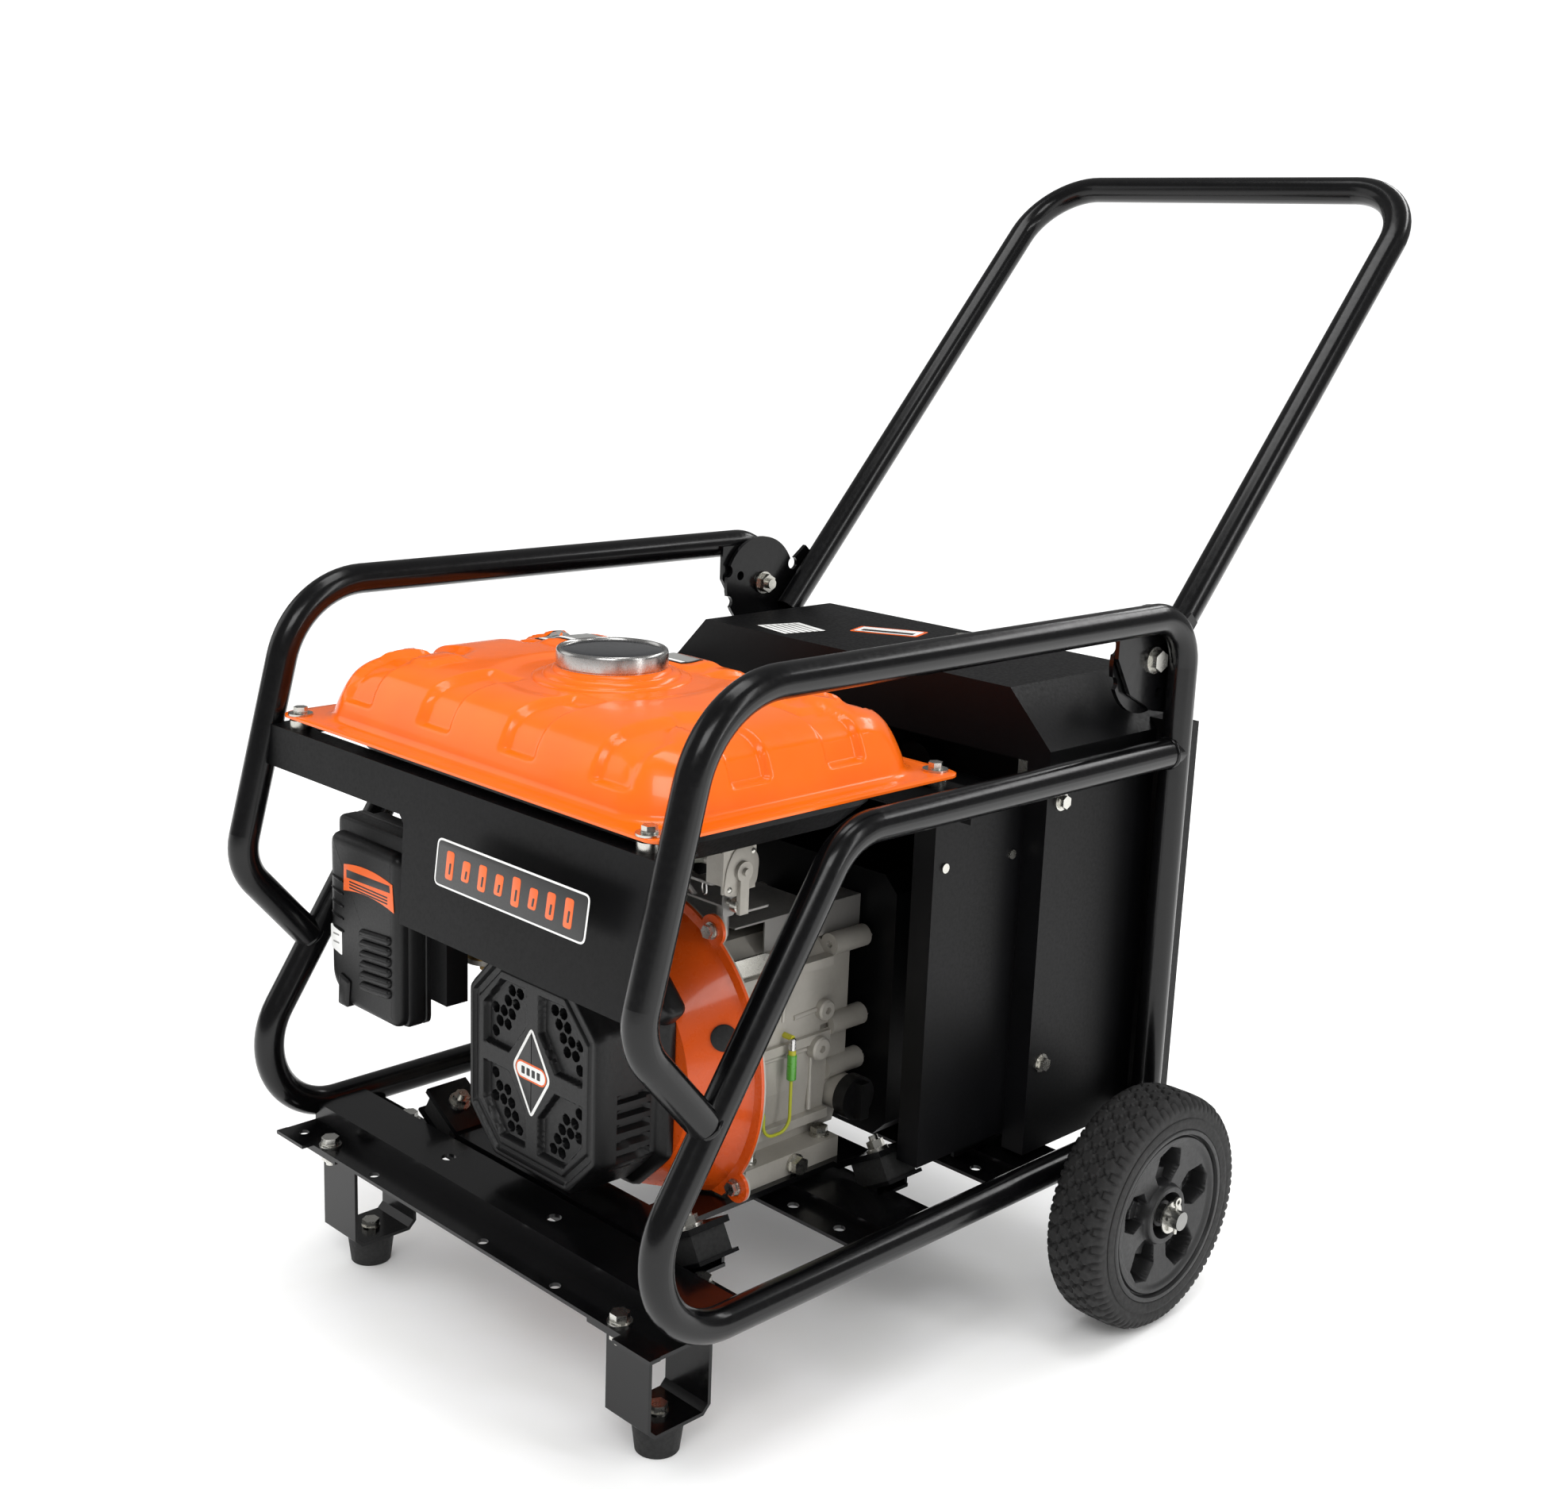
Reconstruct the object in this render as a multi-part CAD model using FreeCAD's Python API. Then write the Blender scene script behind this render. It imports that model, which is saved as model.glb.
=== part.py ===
import FreeCAD, Part
import math
import os
from FreeCAD import Vector as V

os.makedirs("parts", exist_ok=True)

# Portable petrol generator on two wheels, in millimetres.
# +X is the right side, -Y the front (recoil starter), +Y the rear (wheels, handle), +Z up.
# The shapes are drawn with y = 0 at the front knee of the side frames and x = 0 midway between them,
# and are written out with the origin on the ground in the middle of the overall box.
Y_ORIGIN = 487.8

# ---- frame ----
TUBE_OD = 25.4
TUBE_WALL = 1.8
HALF_WIDTH = 252.0        # middle plane to the axis of a side frame
Z_TOP_RAIL = 590.0
Z_MID_RAIL = 472.0
Z_LOW_RAIL = 128.0
Y_REAR_POST = 598.0
Y_FRONT_TOP = 60.0
Z_KNEE = 361.0
Y_MID_CORNER = 194.0
Y_LOW_CORNER = -31.0
Z_BUTT = 400.0            # where the two hoops of a side frame are butt welded
R_FRONT_TOP = 80.0
R_REAR_TOP = 44.0
R_KNEE = 46.0
R_LOW_FRONT = 65.0
R_LOW_REAR = 50.0
R_MID = 54.0
SHEET = 1.5               # sheet steel of the enclosure
PLATE = 3.0               # sheet steel of the channels

# ---- handle ----
PIVOT_Y = 573.3
PIVOT_Z = 551.7
HANDLE_ANGLE = 48.3       # degrees above the ground
HANDLE_LENGTH = 564.6
HANDLE_OFFSET = 35.7      # leg axis behind the pivot
HANDLE_GAP = 8.6          # from the side tubes to the legs
HANDLE_HALF = HALF_WIDTH - TUBE_OD - HANDLE_GAP
R_HANDLE = 66.0
DISC_R = 46.0
DISC_T = 4.0
PIVOT_D = 10.0

# ---- wheels ----
AXLE_Y = 517.0
AXLE_D = 16.0
TYRE_R = 102.0
RIM_R = 75.0
WHEEL_GAP = 19.8          # from the side tube to the hub
WHEEL_W = 55.0
WHEEL_IN = HALF_WIDTH + TUBE_OD / 2 + WHEEL_GAP
WHEEL_OUT = WHEEL_IN + WHEEL_W
COLLAR_X = HALF_WIDTH + 3.5
RUN_FIT = 0.10            # radial clearance of a turning fit
GAP = 0.5                 # clearance beside a moving part

# ---- engine ----
XC = 14.0                 # crankshaft axis
ZC = 236.0
Y_RECOIL = 99.0
Y_BLOWER = 167.0
Y_FLANGE = 212.0
Y_CASE = 337.0
Y_COVER = 372.0
Z_BASE = 134.5
R_BLOWER = 140.0
CRANK_R = 15.0
ROPE_D = 4.0
REEL_Y = 151.0
REEL_HUB = 18.2
ROPE_R = REEL_HUB + ROPE_D / 2 + 0.4

# ---- tank ----
Z_TANK = 487.0            # underside of the upper flange
TANK_HALF = 235.5
TANK_Y0 = 30.5
TANK_Y1 = 340.0
CAP_Y = 187.0
CAP_R = 44.0
NECK_R = 38.0

# ---- enclosure ----
ENC_HALF = 229.5
ENC_IN_HALF = 207.0
ENC_Y = 455.0
ENC_IN_Y = 335.0
ENC_TOP = 533.0
ENC_FLAT = 184.0
ENC_LOW = 136.0
PANEL_Y = 623.0
PANEL_HALF = HALF_WIDTH + 5.0
PANEL_TOP = 496.0


def box(x0, x1, y0, y1, z0, z1):
    return Part.makeBox(x1 - x0, y1 - y0, z1 - z0, V(x0, y0, z0))


def cyl(p, axis, r, h):
    return Part.makeCylinder(r, h, V(*p), V(*axis))


def ring(p, axis, r_out, r_in, h):
    return cyl(p, axis, r_out, h).cut(cyl(p, axis, r_in, h))


def cone(p, axis, r0, r1, h):
    return Part.makeCone(r0, r1, h, V(*p), V(*axis))


def prism(points, plane, a, b):
    """Solid from a closed outline drawn in 'yz', 'xz' or 'xy', from a to b along the third axis."""
    put = {"yz": lambda u, v: V(a, u, v), "xz": lambda u, v: V(u, a, v), "xy": lambda u, v: V(u, v, a)}
    way = {"yz": V(b - a, 0, 0), "xz": V(0, b - a, 0), "xy": V(0, 0, b - a)}
    pts = [put[plane](u, v) for u, v in points]
    return Part.Face(Part.makePolygon(pts + [pts[0]])).extrude(way[plane])


def hexagon(p, axis, flats, h):
    """Hexagonal bar from p along an axis direction."""
    r = flats / math.sqrt(3.0)
    turn = FreeCAD.Rotation(V(0, 0, 1), V(*axis))
    pts = [V(r * math.cos(math.radians(60 * i)), r * math.sin(math.radians(60 * i)), 0) for i in range(6)]
    pts = [turn.multVec(q).add(V(*p)) for q in pts]
    return Part.Face(Part.makePolygon(pts + [pts[0]])).extrude(V(*axis).normalize() * h)


def join(shapes):
    out = shapes[0].multiFuse(shapes[1:]) if len(shapes) > 1 else shapes[0]
    return out.removeSplitter()


def flip(shape):
    """Mirror image in the middle plane."""
    return shape.mirror(V(0, 0, 0), V(1, 0, 0))


def group(shapes):
    return Part.makeCompound(shapes)


def save(name, shape):
    """Write one node, with the whole drawing moved so that y = 0 is the middle of the overall box."""
    moved = shape.copy()
    moved.translate(V(0, -Y_ORIGIN, 0))
    moved.exportStep("parts/%s.step" % name)


def bent(points, radii, r):
    """Round bar of radius r along a polyline whose inner corners are rounded."""
    edges, start = [], points[0]
    for i in range(1, len(points) - 1):
        a, b, c = points[i - 1], points[i], points[i + 1]
        u, v = (a - b).normalize(), (c - b).normalize()
        half = u.getAngle(v) / 2
        reach = radii[i - 1] / math.tan(half)
        middle = (u + v).normalize()
        t0, t1 = b + u * reach, b + v * reach
        mid = b + middle * (radii[i - 1] / math.sin(half) - radii[i - 1])
        edges += [Part.makeLine(start, t0), Part.Arc(t0, mid, t1).toShape()]
        start = t1
    edges.append(Part.makeLine(start, points[-1]))
    way = points[1] - points[0]
    section = Part.Wire([Part.makeCircle(r, points[0], way)])
    return Part.Wire(edges).makePipeShell([section], True, False)


def bolt(p, axis, d, head, length, washer=0.0):
    """Hexagon bolt: head (and washer) outside p, shank going the other way."""
    a = V(*axis).normalize()
    back = a * -1
    parts = [cyl(p, (back.x, back.y, back.z), d / 2, length)]
    q = V(*p)
    if washer:
        parts.append(cyl(p, axis, washer / 2, 1.6))
        q = q + a * 1.6
    parts.append(cyl((q.x, q.y, q.z), axis, head * 0.62, 1.2))
    q = q + a * 1.2
    parts.append(hexagon((q.x, q.y, q.z), axis, head, d * 0.65))
    return join(parts)


def holes(shape, places, axis, d, length):
    """Cut one round hole at each place, going against the axis."""
    for p in places:
        q = V(*p) + V(*axis).normalize() * 1.0
        back = V(*axis) * -1
        shape = shape.cut(cyl((q.x, q.y, q.z), (back.x, back.y, back.z), d / 2, length + 1.0))
    return shape


# ------------------------------------------------------------------ frame tubes
def yz(points, x):
    return [V(x, y, z) for y, z in points]


A_LINE = [(68.9, 281.7), (0.0, Z_KNEE), (Y_FRONT_TOP, Z_TOP_RAIL), (Y_REAR_POST, Z_TOP_RAIL), (Y_REAR_POST, Z_BUTT)]
A_BEND = [R_KNEE, R_FRONT_TOP, R_REAR_TOP]
B_LINE = [(Y_REAR_POST, Z_BUTT), (Y_REAR_POST, Z_LOW_RAIL), (Y_LOW_CORNER, Z_LOW_RAIL),
          (Y_MID_CORNER, Z_MID_RAIL), (Y_REAR_POST, Z_MID_RAIL)]
B_BEND = [R_LOW_REAR, R_LOW_FRONT, R_MID]
TUBE_R = TUBE_OD / 2
HOOP_A = bent(yz(A_LINE, HALF_WIDTH), A_BEND, TUBE_R)
HOOP_A_BORE = bent(yz(A_LINE, HALF_WIDTH), A_BEND, TUBE_R - TUBE_WALL)
HOOP_B = bent(yz(B_LINE, HALF_WIDTH), B_BEND, TUBE_R)
HOOP_B_BORE = bent(yz(B_LINE, HALF_WIDTH), B_BEND, TUBE_R - TUBE_WALL)
IN_FACE = HALF_WIDTH - TUBE_R


def weld(shape):
    """Trim a piece to the outside of the frame tubes it is welded to."""
    for tube in (HOOP_A, HOOP_B):
        shape = shape.cut(tube).cut(flip(tube))
    return shape


def gusset():
    """Plate in the top rear corner that carries the handle pivot."""
    a, b = PIVOT_Y, PIVOT_Z
    pts = [(a - 50, Z_TOP_RAIL), (a - 21, Z_TOP_RAIL), (a - 5, Z_TOP_RAIL - 3), (a + 12, Z_TOP_RAIL - 13),
           (a + 22, Z_TOP_RAIL - 30), (Y_REAR_POST, Z_TOP_RAIL - 46), (Y_REAR_POST, b - 48),
           (a + 4, b - 44), (a - 30, b - 26), (a - 50, b + 6)]
    plate = prism(pts, "yz", HALF_WIDTH - 16.2, HALF_WIDTH - 12.2)
    plate = plate.cut(cyl((HALF_WIDTH - 17, a, b), (1, 0, 0), PIVOT_D / 2, 6))
    plate = plate.cut(cyl((HALF_WIDTH - 17, a + 10, b - 29), (1, 0, 0), 4.5, 6))
    return plate


def top_hoop():
    """Front post, top rail and upper rear post of one side, with the hinge gusset."""
    tube = HOOP_A.cut(HOOP_A_BORE).cut(HOOP_B)
    plate = gusset().cut(HOOP_A_BORE)
    return join([tube, plate])


def axle_bracket():
    """Plate under the lower rail with the axle hole."""
    pts = [(AXLE_Y - 30, Z_LOW_RAIL - 6), (AXLE_Y + 30, Z_LOW_RAIL - 6), (AXLE_Y + 16, 86), (AXLE_Y - 16, 86)]
    plate = prism(pts, "yz", HALF_WIDTH - 3, HALF_WIDTH + 3)
    return plate.cut(cyl((HALF_WIDTH - 4, AXLE_Y, TYRE_R), (1, 0, 0), AXLE_D / 2, 8))


def base_hoop():
    """Lower rear post, lower rail, front diagonal and middle rail of one side."""
    tube = HOOP_B.cut(HOOP_B_BORE).cut(HOOP_A)
    return join([tube, axle_bracket().cut(HOOP_B_BORE)])


def front_panel():
    """Leaning sheet between the front posts with a folded ledge for the tank."""
    lean = [(13.5, 364.0), (26.0, 479.0), (28.0, 479.0), (15.5, 364.0)]
    slab = prism(lean, "yz", -IN_FACE - 4, IN_FACE + 4)
    shape = [(-IN_FACE - 4, 446), (-50, 446), (-44, 440), (-38, 364), (IN_FACE + 4, 364),
             (IN_FACE + 4, 480), (-IN_FACE - 4, 480)]
    sheet = slab.common(prism(shape, "xz", 0, 60))
    ledge = box(-IN_FACE - 4, IN_FACE + 4, 26, 60, 477, 479)
    ledge = ledge.cut(box(-200, 200, 44, 61, 476, 480))
    lip = box(-38, 232, 15.5, 21, 364, 366)
    panel = weld(join([sheet, ledge, lip]))
    return holes(panel, [(s * TANK_BOLT_X, TANK_BOLT_Y0, 479) for s in (-1, 1)], (0, 0, 1), 6.0, 4)


# ------------------------------------------------------------------ base
CH_FLANGE = 114.5         # underside of the channel flanges


def hat(y_front, y_wall0, y_wall1, y_rear, z_top, half):
    """Hat section cross channel: two flanges, two walls and a crown."""
    f0, f1 = CH_FLANGE, CH_FLANGE + PLATE
    pts = [(y_front, f0), (y_wall0 + PLATE, f0), (y_wall0 + PLATE, z_top - PLATE), (y_wall1 - PLATE, z_top - PLATE),
           (y_wall1 - PLATE, f0), (y_rear, f0), (y_rear, f1), (y_wall1, f1), (y_wall1, z_top),
           (y_wall0, z_top), (y_wall0, f1), (y_front, f1)]
    return prism(pts, "yz", -half, half)


LEG_X = 191.0
LEG_Y0 = 56.0
LEG_Y1 = 112.0
LEG_W = 48.0
MOUNT_DX = 150.0          # middle of a rubber mount's upper plate from the engine middle plane
MOUNT_Y = (138.0, 346.0)
MOUNT_TILT = 30.0
MOUNT_T = 20.0


def mount_frame(shape, side, y):
    """Place a piece drawn round the mount's upper plate (z along the mount axis) at one of the four mounts."""
    z = Z_BASE - 2.5 + (MOUNT_DX - 122.0) * math.tan(math.radians(MOUNT_TILT))
    shape = shape.copy()
    shape.rotate(V(0, 0, 0), V(0, 1, 0), -side * MOUNT_TILT)
    shape.translate(V(XC + side * MOUNT_DX, y, z))
    return shape


def mount_bracket(side, y):
    """Lower plate of one rubber mount with the foot that stands on the channel flange."""
    low = -2.5 - MOUNT_T
    tilted = mount_frame(box(-22, 22, -20, 20, low - PLATE, low), side, y)
    tilted = tilted.cut(mount_frame(cyl((0, 0, low - 10), (0, 0, 1), 4.0, 12), side, y))
    x = XC + side * (MOUNT_DX + 11)
    low_z = CH_FLANGE + PLATE
    x0, x1 = sorted((x - side * 24, x + side * 6))
    pieces = [box(x0, x1, y - 20, y + 20, low_z, low_z + PLATE)]
    x0, x1 = sorted((x - side * 4, x + side * 5))
    pieces += [box(x0, x1, y - 20, y - 17, low_z, 131), box(x0, x1, y + 17, y + 20, low_z, 131)]
    above = mount_frame(box(-60, 60, -30, 30, low, 60), side, y)
    return join([tilted] + [p.cut(above) for p in pieces])


def front_channel():
    """Front cross channel with end flanges, leg bolt holes and the two front mount brackets."""
    body = hat(34, 64, 112, 136, 134, IN_FACE + 6)
    ends = []
    for s in (-1, 1):
        ends.append(box(min(s * 205, s * 246), max(s * 205, s * 246), 26, 36, CH_FLANGE, CH_FLANGE + PLATE))
        ends.append(mount_bracket(s, MOUNT_Y[0]))
    body = join([body] + ends)
    for x in (-228, -120, 30, 120):
        body = body.cut(cyl((x, 42, CH_FLANGE - 1), (0, 0, 1), 4.5, 6))
    for x in (-80, 60):
        body = body.cut(cyl((x, 88, 128), (0, 0, 1), 6.0, 9))
    return weld(holes(body, leg_bolt_places(), (0, 0, 1), 8.0, 6))


def cross_channels():
    """Middle and rear cross channels with their rows of holes."""
    out = []
    for y in (255.0, 423.0):
        body = hat(y, y + 28, y + 70, y + 96, 125.5, IN_FACE + 6)
        for x in (-195, -143, 143, 195):
            body = body.cut(cyl((x, y + 14, CH_FLANGE - 1), (0, 0, 1), 5.0, 6))
        if y < 300:
            body = join([body] + [mount_bracket(s, MOUNT_Y[1]) for s in (-1, 1)])
        out.append(weld(body))
    return out


def leg_bolt_places():
    z = CH_FLANGE + PLATE
    return [(s * LEG_X, y, z) for s in (-1, 1) for y in (45.0, 125.0)]


def front_leg(side):
    """U shaped strap leg with a tab at each end under the channel flanges."""
    x0, x1 = side * LEG_X - LEG_W / 2, side * LEG_X + LEG_W / 2
    pts = [(34, CH_FLANGE), (34, CH_FLANGE - PLATE), (LEG_Y0 - PLATE, CH_FLANGE - PLATE),
           (LEG_Y0 - PLATE, 34), (LEG_Y0 + 4, 27), (LEG_Y1 - 4, 27), (LEG_Y1 + PLATE, 34),
           (LEG_Y1 + PLATE, CH_FLANGE - PLATE), (136, CH_FLANGE - PLATE), (136, CH_FLANGE),
           (LEG_Y1, CH_FLANGE), (LEG_Y1, 35.2), (LEG_Y1 - 5.2, 30), (LEG_Y0 + 5.2, 30), (LEG_Y0, 35.2),
           (LEG_Y0, CH_FLANGE)]
    leg = prism(pts, "yz", x0, x1)
    for y in (45.0, 125.0):
        leg = leg.cut(cyl((side * LEG_X, y, CH_FLANGE - 5), (0, 0, 1), 4.0, 8))
    return leg.cut(cyl((side * LEG_X, 84, 20), (0, 0, 1), 4.0, 20))


def foot(side):
    body = cone((side * LEG_X, 84, 0), (0, 0, 1), 17, 20.5, 27)
    return body.cut(cyl((side * LEG_X, 84, 8), (0, 0, 1), 4.0, 30))


def leg_bolts():
    """Flange bolts and nuts of the legs, and the bolt inside each foot."""
    out = []
    for x, y, z in leg_bolt_places():
        b = bolt((x, y, z), (0, 0, 1), 8.0, 13.0, 2 * PLATE + 11, 19.0)
        n = hexagon((x, y, z - 2 * PLATE - 7), (0, 0, 1), 13.0, 7.0)
        out.append(join([b, n]))
    for s in (-1, 1):
        out.append(bolt((s * LEG_X, 84, 30), (0, 0, 1), 8.0, 13.0, 20))
    return out


# ------------------------------------------------------------------ engine mounting
BASE_DX = 100.0
BASE_Y = (242.0, 326.0)
BASE_T = 18.0


def engine_cradle():
    """Two rails under the engine feet joined to cross strips whose ends rise over the rubber mounts."""
    z0, z1 = Z_BASE - 5, Z_BASE
    parts = []
    for s in (-1, 1):
        x0, x1 = sorted((XC + s * 78, XC + s * 118))
        parts.append(box(x0, x1, MOUNT_Y[0] - 20, MOUNT_Y[1] + 20, z0, z1))
        for y in MOUNT_Y:
            u0, u1 = sorted((-33.0 * s, 22.0 * s))
            end = mount_frame(box(u0, u1, -20, 20, -2.5, 2.5), s, y)
            x0, x1 = sorted((XC + s * 100, XC + s * 125))
            parts += [end, box(x0, x1, y - 20, y + 20, z0, z1)]
    for y in MOUNT_Y:
        parts.append(box(XC - 118, XC + 118, y - 20, y + 20, z0, z1))
    body = join(parts).cut(box(XC - 125, XC + 125, 60, 400, Z_BASE, 200))
    for s in (-1, 1):
        for y in MOUNT_Y:
            body = body.cut(mount_frame(cyl((0, 0, -6), (0, 0, 1), 4.0, 12), s, y))
    return holes(body, base_bolt_places(), (0, 0, 1), 8.0, 26)


def base_bolt_places():
    return [(XC + s * BASE_DX, y, Z_BASE + BASE_T) for s in (-1, 1) for y in BASE_Y]


def rubber_mounts():
    """Four rubber blocks with steel studs through them, and two pads under the alternator."""
    out = []
    for s in (-1, 1):
        for y in MOUNT_Y:
            block = mount_frame(box(-18, 18, -17, 17, -2.5 - MOUNT_T, -2.5), s, y)
            hole = mount_frame(cyl((0, 0, -40), (0, 0, 1), 4.0, 60), s, y)
            out.append(block.cut(hole))
        out.append(box(XC + s * 45 - 20, XC + s * 45 + 20, 455, 490, 125.5, 138))
    return out


def mount_fasteners():
    """Stud with a nut and washer above and below each rubber mount."""
    out = []
    for s in (-1, 1):
        for y in MOUNT_Y:
            low = -2.5 - MOUNT_T - PLATE
            stud = cyl((0, 0, low), (0, 0, 1), 4.0, 2.5 - low + 12)
            nut = join([cyl((0, 0, 2.5), (0, 0, 1), 9.5, 1.6), hexagon((0, 0, 4.1), (0, 0, 1), 13.0, 6.5)])
            out.append(mount_frame(join([stud, nut]), s, y))
    return out


# ------------------------------------------------------------------ wheels and axle
def axle():
    """Through axle with a collar at each end."""
    rod = cyl((-352, AXLE_Y, TYRE_R), (1, 0, 0), AXLE_D / 2, 704)
    for s in (-1, 1):
        x = COLLAR_X if s > 0 else -WHEEL_IN + GAP
        rod = rod.fuse(cyl((x, AXLE_Y, TYRE_R), (1, 0, 0), 12.0, WHEEL_IN - GAP - COLLAR_X))
        rod = rod.cut(cyl((s * 346, AXLE_Y, TYRE_R - 12), (0, 0, 1), 1.7, 24))
    return rod.removeSplitter()


def turned(profile, x_sign=1):
    """Solid of revolution round the axle from (radius, x) points."""
    pts = [V(x_sign * x, AXLE_Y + r, TYRE_R) for r, x in profile]
    face = Part.Face(Part.makePolygon(pts + [pts[0]]))
    return face.revolve(V(0, AXLE_Y, TYRE_R), V(1, 0, 0), 360)


def rim():
    """Moulded wheel: hub, rim and a web with five pockets."""
    mid = (WHEEL_IN + WHEEL_OUT) / 2
    bore = AXLE_D / 2 + RUN_FIT
    pts = [(bore, WHEEL_IN), (19, WHEEL_IN), (19, mid - 10), (64, mid - 10), (66, WHEEL_IN + 8),
           (RIM_R, WHEEL_IN + 6), (RIM_R, WHEEL_OUT - 6), (67, WHEEL_OUT - 4), (65, mid + 17), (30, mid + 17),
           (24, WHEEL_OUT - 5), (17, WHEEL_OUT), (bore, WHEEL_OUT)]
    body = turned(pts)
    for i in range(5):
        a = math.radians(90 + 72 * i)
        c = V(mid + 3, AXLE_Y + 46 * math.cos(a), TYRE_R + 46 * math.sin(a))
        body = body.cut(cyl((c.x, c.y, c.z), (1, 0, 0), 12.5, 20))
    return body


def tyre():
    """Solid rubber tyre."""
    w = WHEEL_OUT - WHEEL_IN
    a, b = WHEEL_IN, WHEEL_OUT
    pts = [(RIM_R, a + 6), (84, a + 1), (94, a), (100, a + 5), (TYRE_R, a + w * 0.3), (TYRE_R, b - w * 0.3),
           (100, b - 5), (94, b), (84, b - 1), (RIM_R, b - 6)]
    return turned(pts)


def wheel_retainers():
    """Washer and split pin at each axle end."""
    out = []
    for s in (-1, 1):
        x = WHEEL_OUT + GAP if s > 0 else -WHEEL_OUT - GAP - 2.0
        out.append(ring((x, AXLE_Y, TYRE_R), (1, 0, 0), 14.0, AXLE_D / 2, 2.0))
        pin = cyl((s * 346, AXLE_Y, TYRE_R - 13), (0, 0, 1), 1.6, 26)
        eye = ring((s * 346 - 1.2, AXLE_Y, TYRE_R + 15.5), (1, 0, 0), 4.0, 2.0, 2.4)
        out.append(join([pin, eye]))
    return out


# ------------------------------------------------------------------ handle
def handle_point(x, t, off):
    c, s = math.cos(math.radians(HANDLE_ANGLE)), math.sin(math.radians(HANDLE_ANGLE))
    return V(x, PIVOT_Y + c * t + s * off, PIVOT_Z + s * t - c * off)


def disc_x():
    return HANDLE_HALF + TUBE_R - 0.5


def pivot_disc():
    """Notched disc that turns against the gusset, with the web that carries the leg."""
    x = disc_x()
    plate = cyl((x, PIVOT_Y - 3, PIVOT_Z), (1, 0, 0), DISC_R, DISC_T)
    web = [handle_point(x, t, o) for t, o in ((-6, 8), (64, 22), (64, HANDLE_OFFSET), (-6, HANDLE_OFFSET))]
    plate = plate.fuse(Part.Face(Part.makePolygon(web + [web[0]])).extrude(V(DISC_T, 0, 0)))
    for a in (20, 162, 200):
        q = (x - 1, PIVOT_Y - 3 + (DISC_R + 1) * math.cos(math.radians(a)),
             PIVOT_Z + (DISC_R + 1) * math.sin(math.radians(a)))
        plate = plate.cut(cyl(q, (1, 0, 0), 6.0, DISC_T + 2))
    plate = plate.cut(cyl((x - 1, PIVOT_Y - 31, PIVOT_Z + 9), (1, 0, 0), 4.5, DISC_T + 2))
    return plate.cut(cyl((x - 1, PIVOT_Y, PIVOT_Z), (1, 0, 0), PIVOT_D / 2 + RUN_FIT, DISC_T + 2))


def handle():
    """U shaped push handle with a welded disc on each leg."""
    h, n, off = HANDLE_HALF, HANDLE_LENGTH, HANDLE_OFFSET
    line = [handle_point(-h, -4, off), handle_point(-h, n, off), handle_point(h, n, off), handle_point(h, -4, off)]
    tube = bent(line, [R_HANDLE, R_HANDLE], TUBE_R)
    bore = bent(line, [R_HANDLE, R_HANDLE], TUBE_R - TUBE_WALL)
    disc = pivot_disc()
    return join([tube, disc, flip(disc)]).cut(bore)


def pivot_bolt():
    """Pivot bolt with its head outside the gusset, a spacer washer and an inner nut."""
    x_in, x_disc = disc_x(), disc_x() + DISC_T
    x_gus0, x_gus1 = HALF_WIDTH - 16.2, HALF_WIDTH - 12.2
    shank = cyl((x_in - 14, PIVOT_Y, PIVOT_Z), (1, 0, 0), PIVOT_D / 2, x_gus1 - x_in + 15)
    parts = [shank, cyl((x_disc + 0.4, PIVOT_Y, PIVOT_Z), (1, 0, 0), 11, x_gus0 - x_disc - 0.4),
             cyl((x_gus1, PIVOT_Y, PIVOT_Z), (1, 0, 0), 11.5, 2.0),
             hexagon((x_gus1 + 2, PIVOT_Y, PIVOT_Z), (1, 0, 0), 16.0, 6.5),
             hexagon((x_in - 9.4, PIVOT_Y, PIVOT_Z), (1, 0, 0), 16.0, 7.0),
             cyl((x_in - 2.4, PIVOT_Y, PIVOT_Z), (1, 0, 0), 11.0, 2.0)]
    return join(parts)


# ------------------------------------------------------------------ fuel tank
TANK_BOLT_X = 217.0
TANK_BOLT_Y0 = 40.0
TANK_BOLT_Y1 = 328.0


def slab_wire(half, y0, y1, r, z):
    """Rounded rectangle wire at height z."""
    k = r * (1 - math.sqrt(0.5))
    a = [V(-half + r, y0, z), V(half - r, y0, z), V(half, y0 + r, z), V(half, y1 - r, z),
         V(half - r, y1, z), V(-half + r, y1, z), V(-half, y1 - r, z), V(-half, y0 + r, z)]
    m = [V(half - k, y0 + k, z), V(half - k, y1 - k, z), V(-half + k, y1 - k, z), V(-half + k, y0 + k, z)]
    edges = []
    for i in range(4):
        edges.append(Part.makeLine(a[2 * i], a[2 * i + 1]))
        edges.append(Part.Arc(a[2 * i + 1], m[i], a[(2 * i + 2) % 8]).toShape())
    return Part.Wire(edges)


def dome(levels, inset):
    """Closed solid lofted through rounded rectangles, all drawn in by an inset."""
    wires = [slab_wire(h - inset, y0 + inset, y1 - inset, max(r - inset, 4), z - top * inset)
             for h, y0, y1, r, z, top in levels]
    return Part.makeLoft(wires, True, True)


def tank_bolt_places():
    return [(s * TANK_BOLT_X, y, Z_TANK + 2.5) for s in (-1, 1) for y in (TANK_BOLT_Y0, TANK_BOLT_Y1)]


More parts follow.
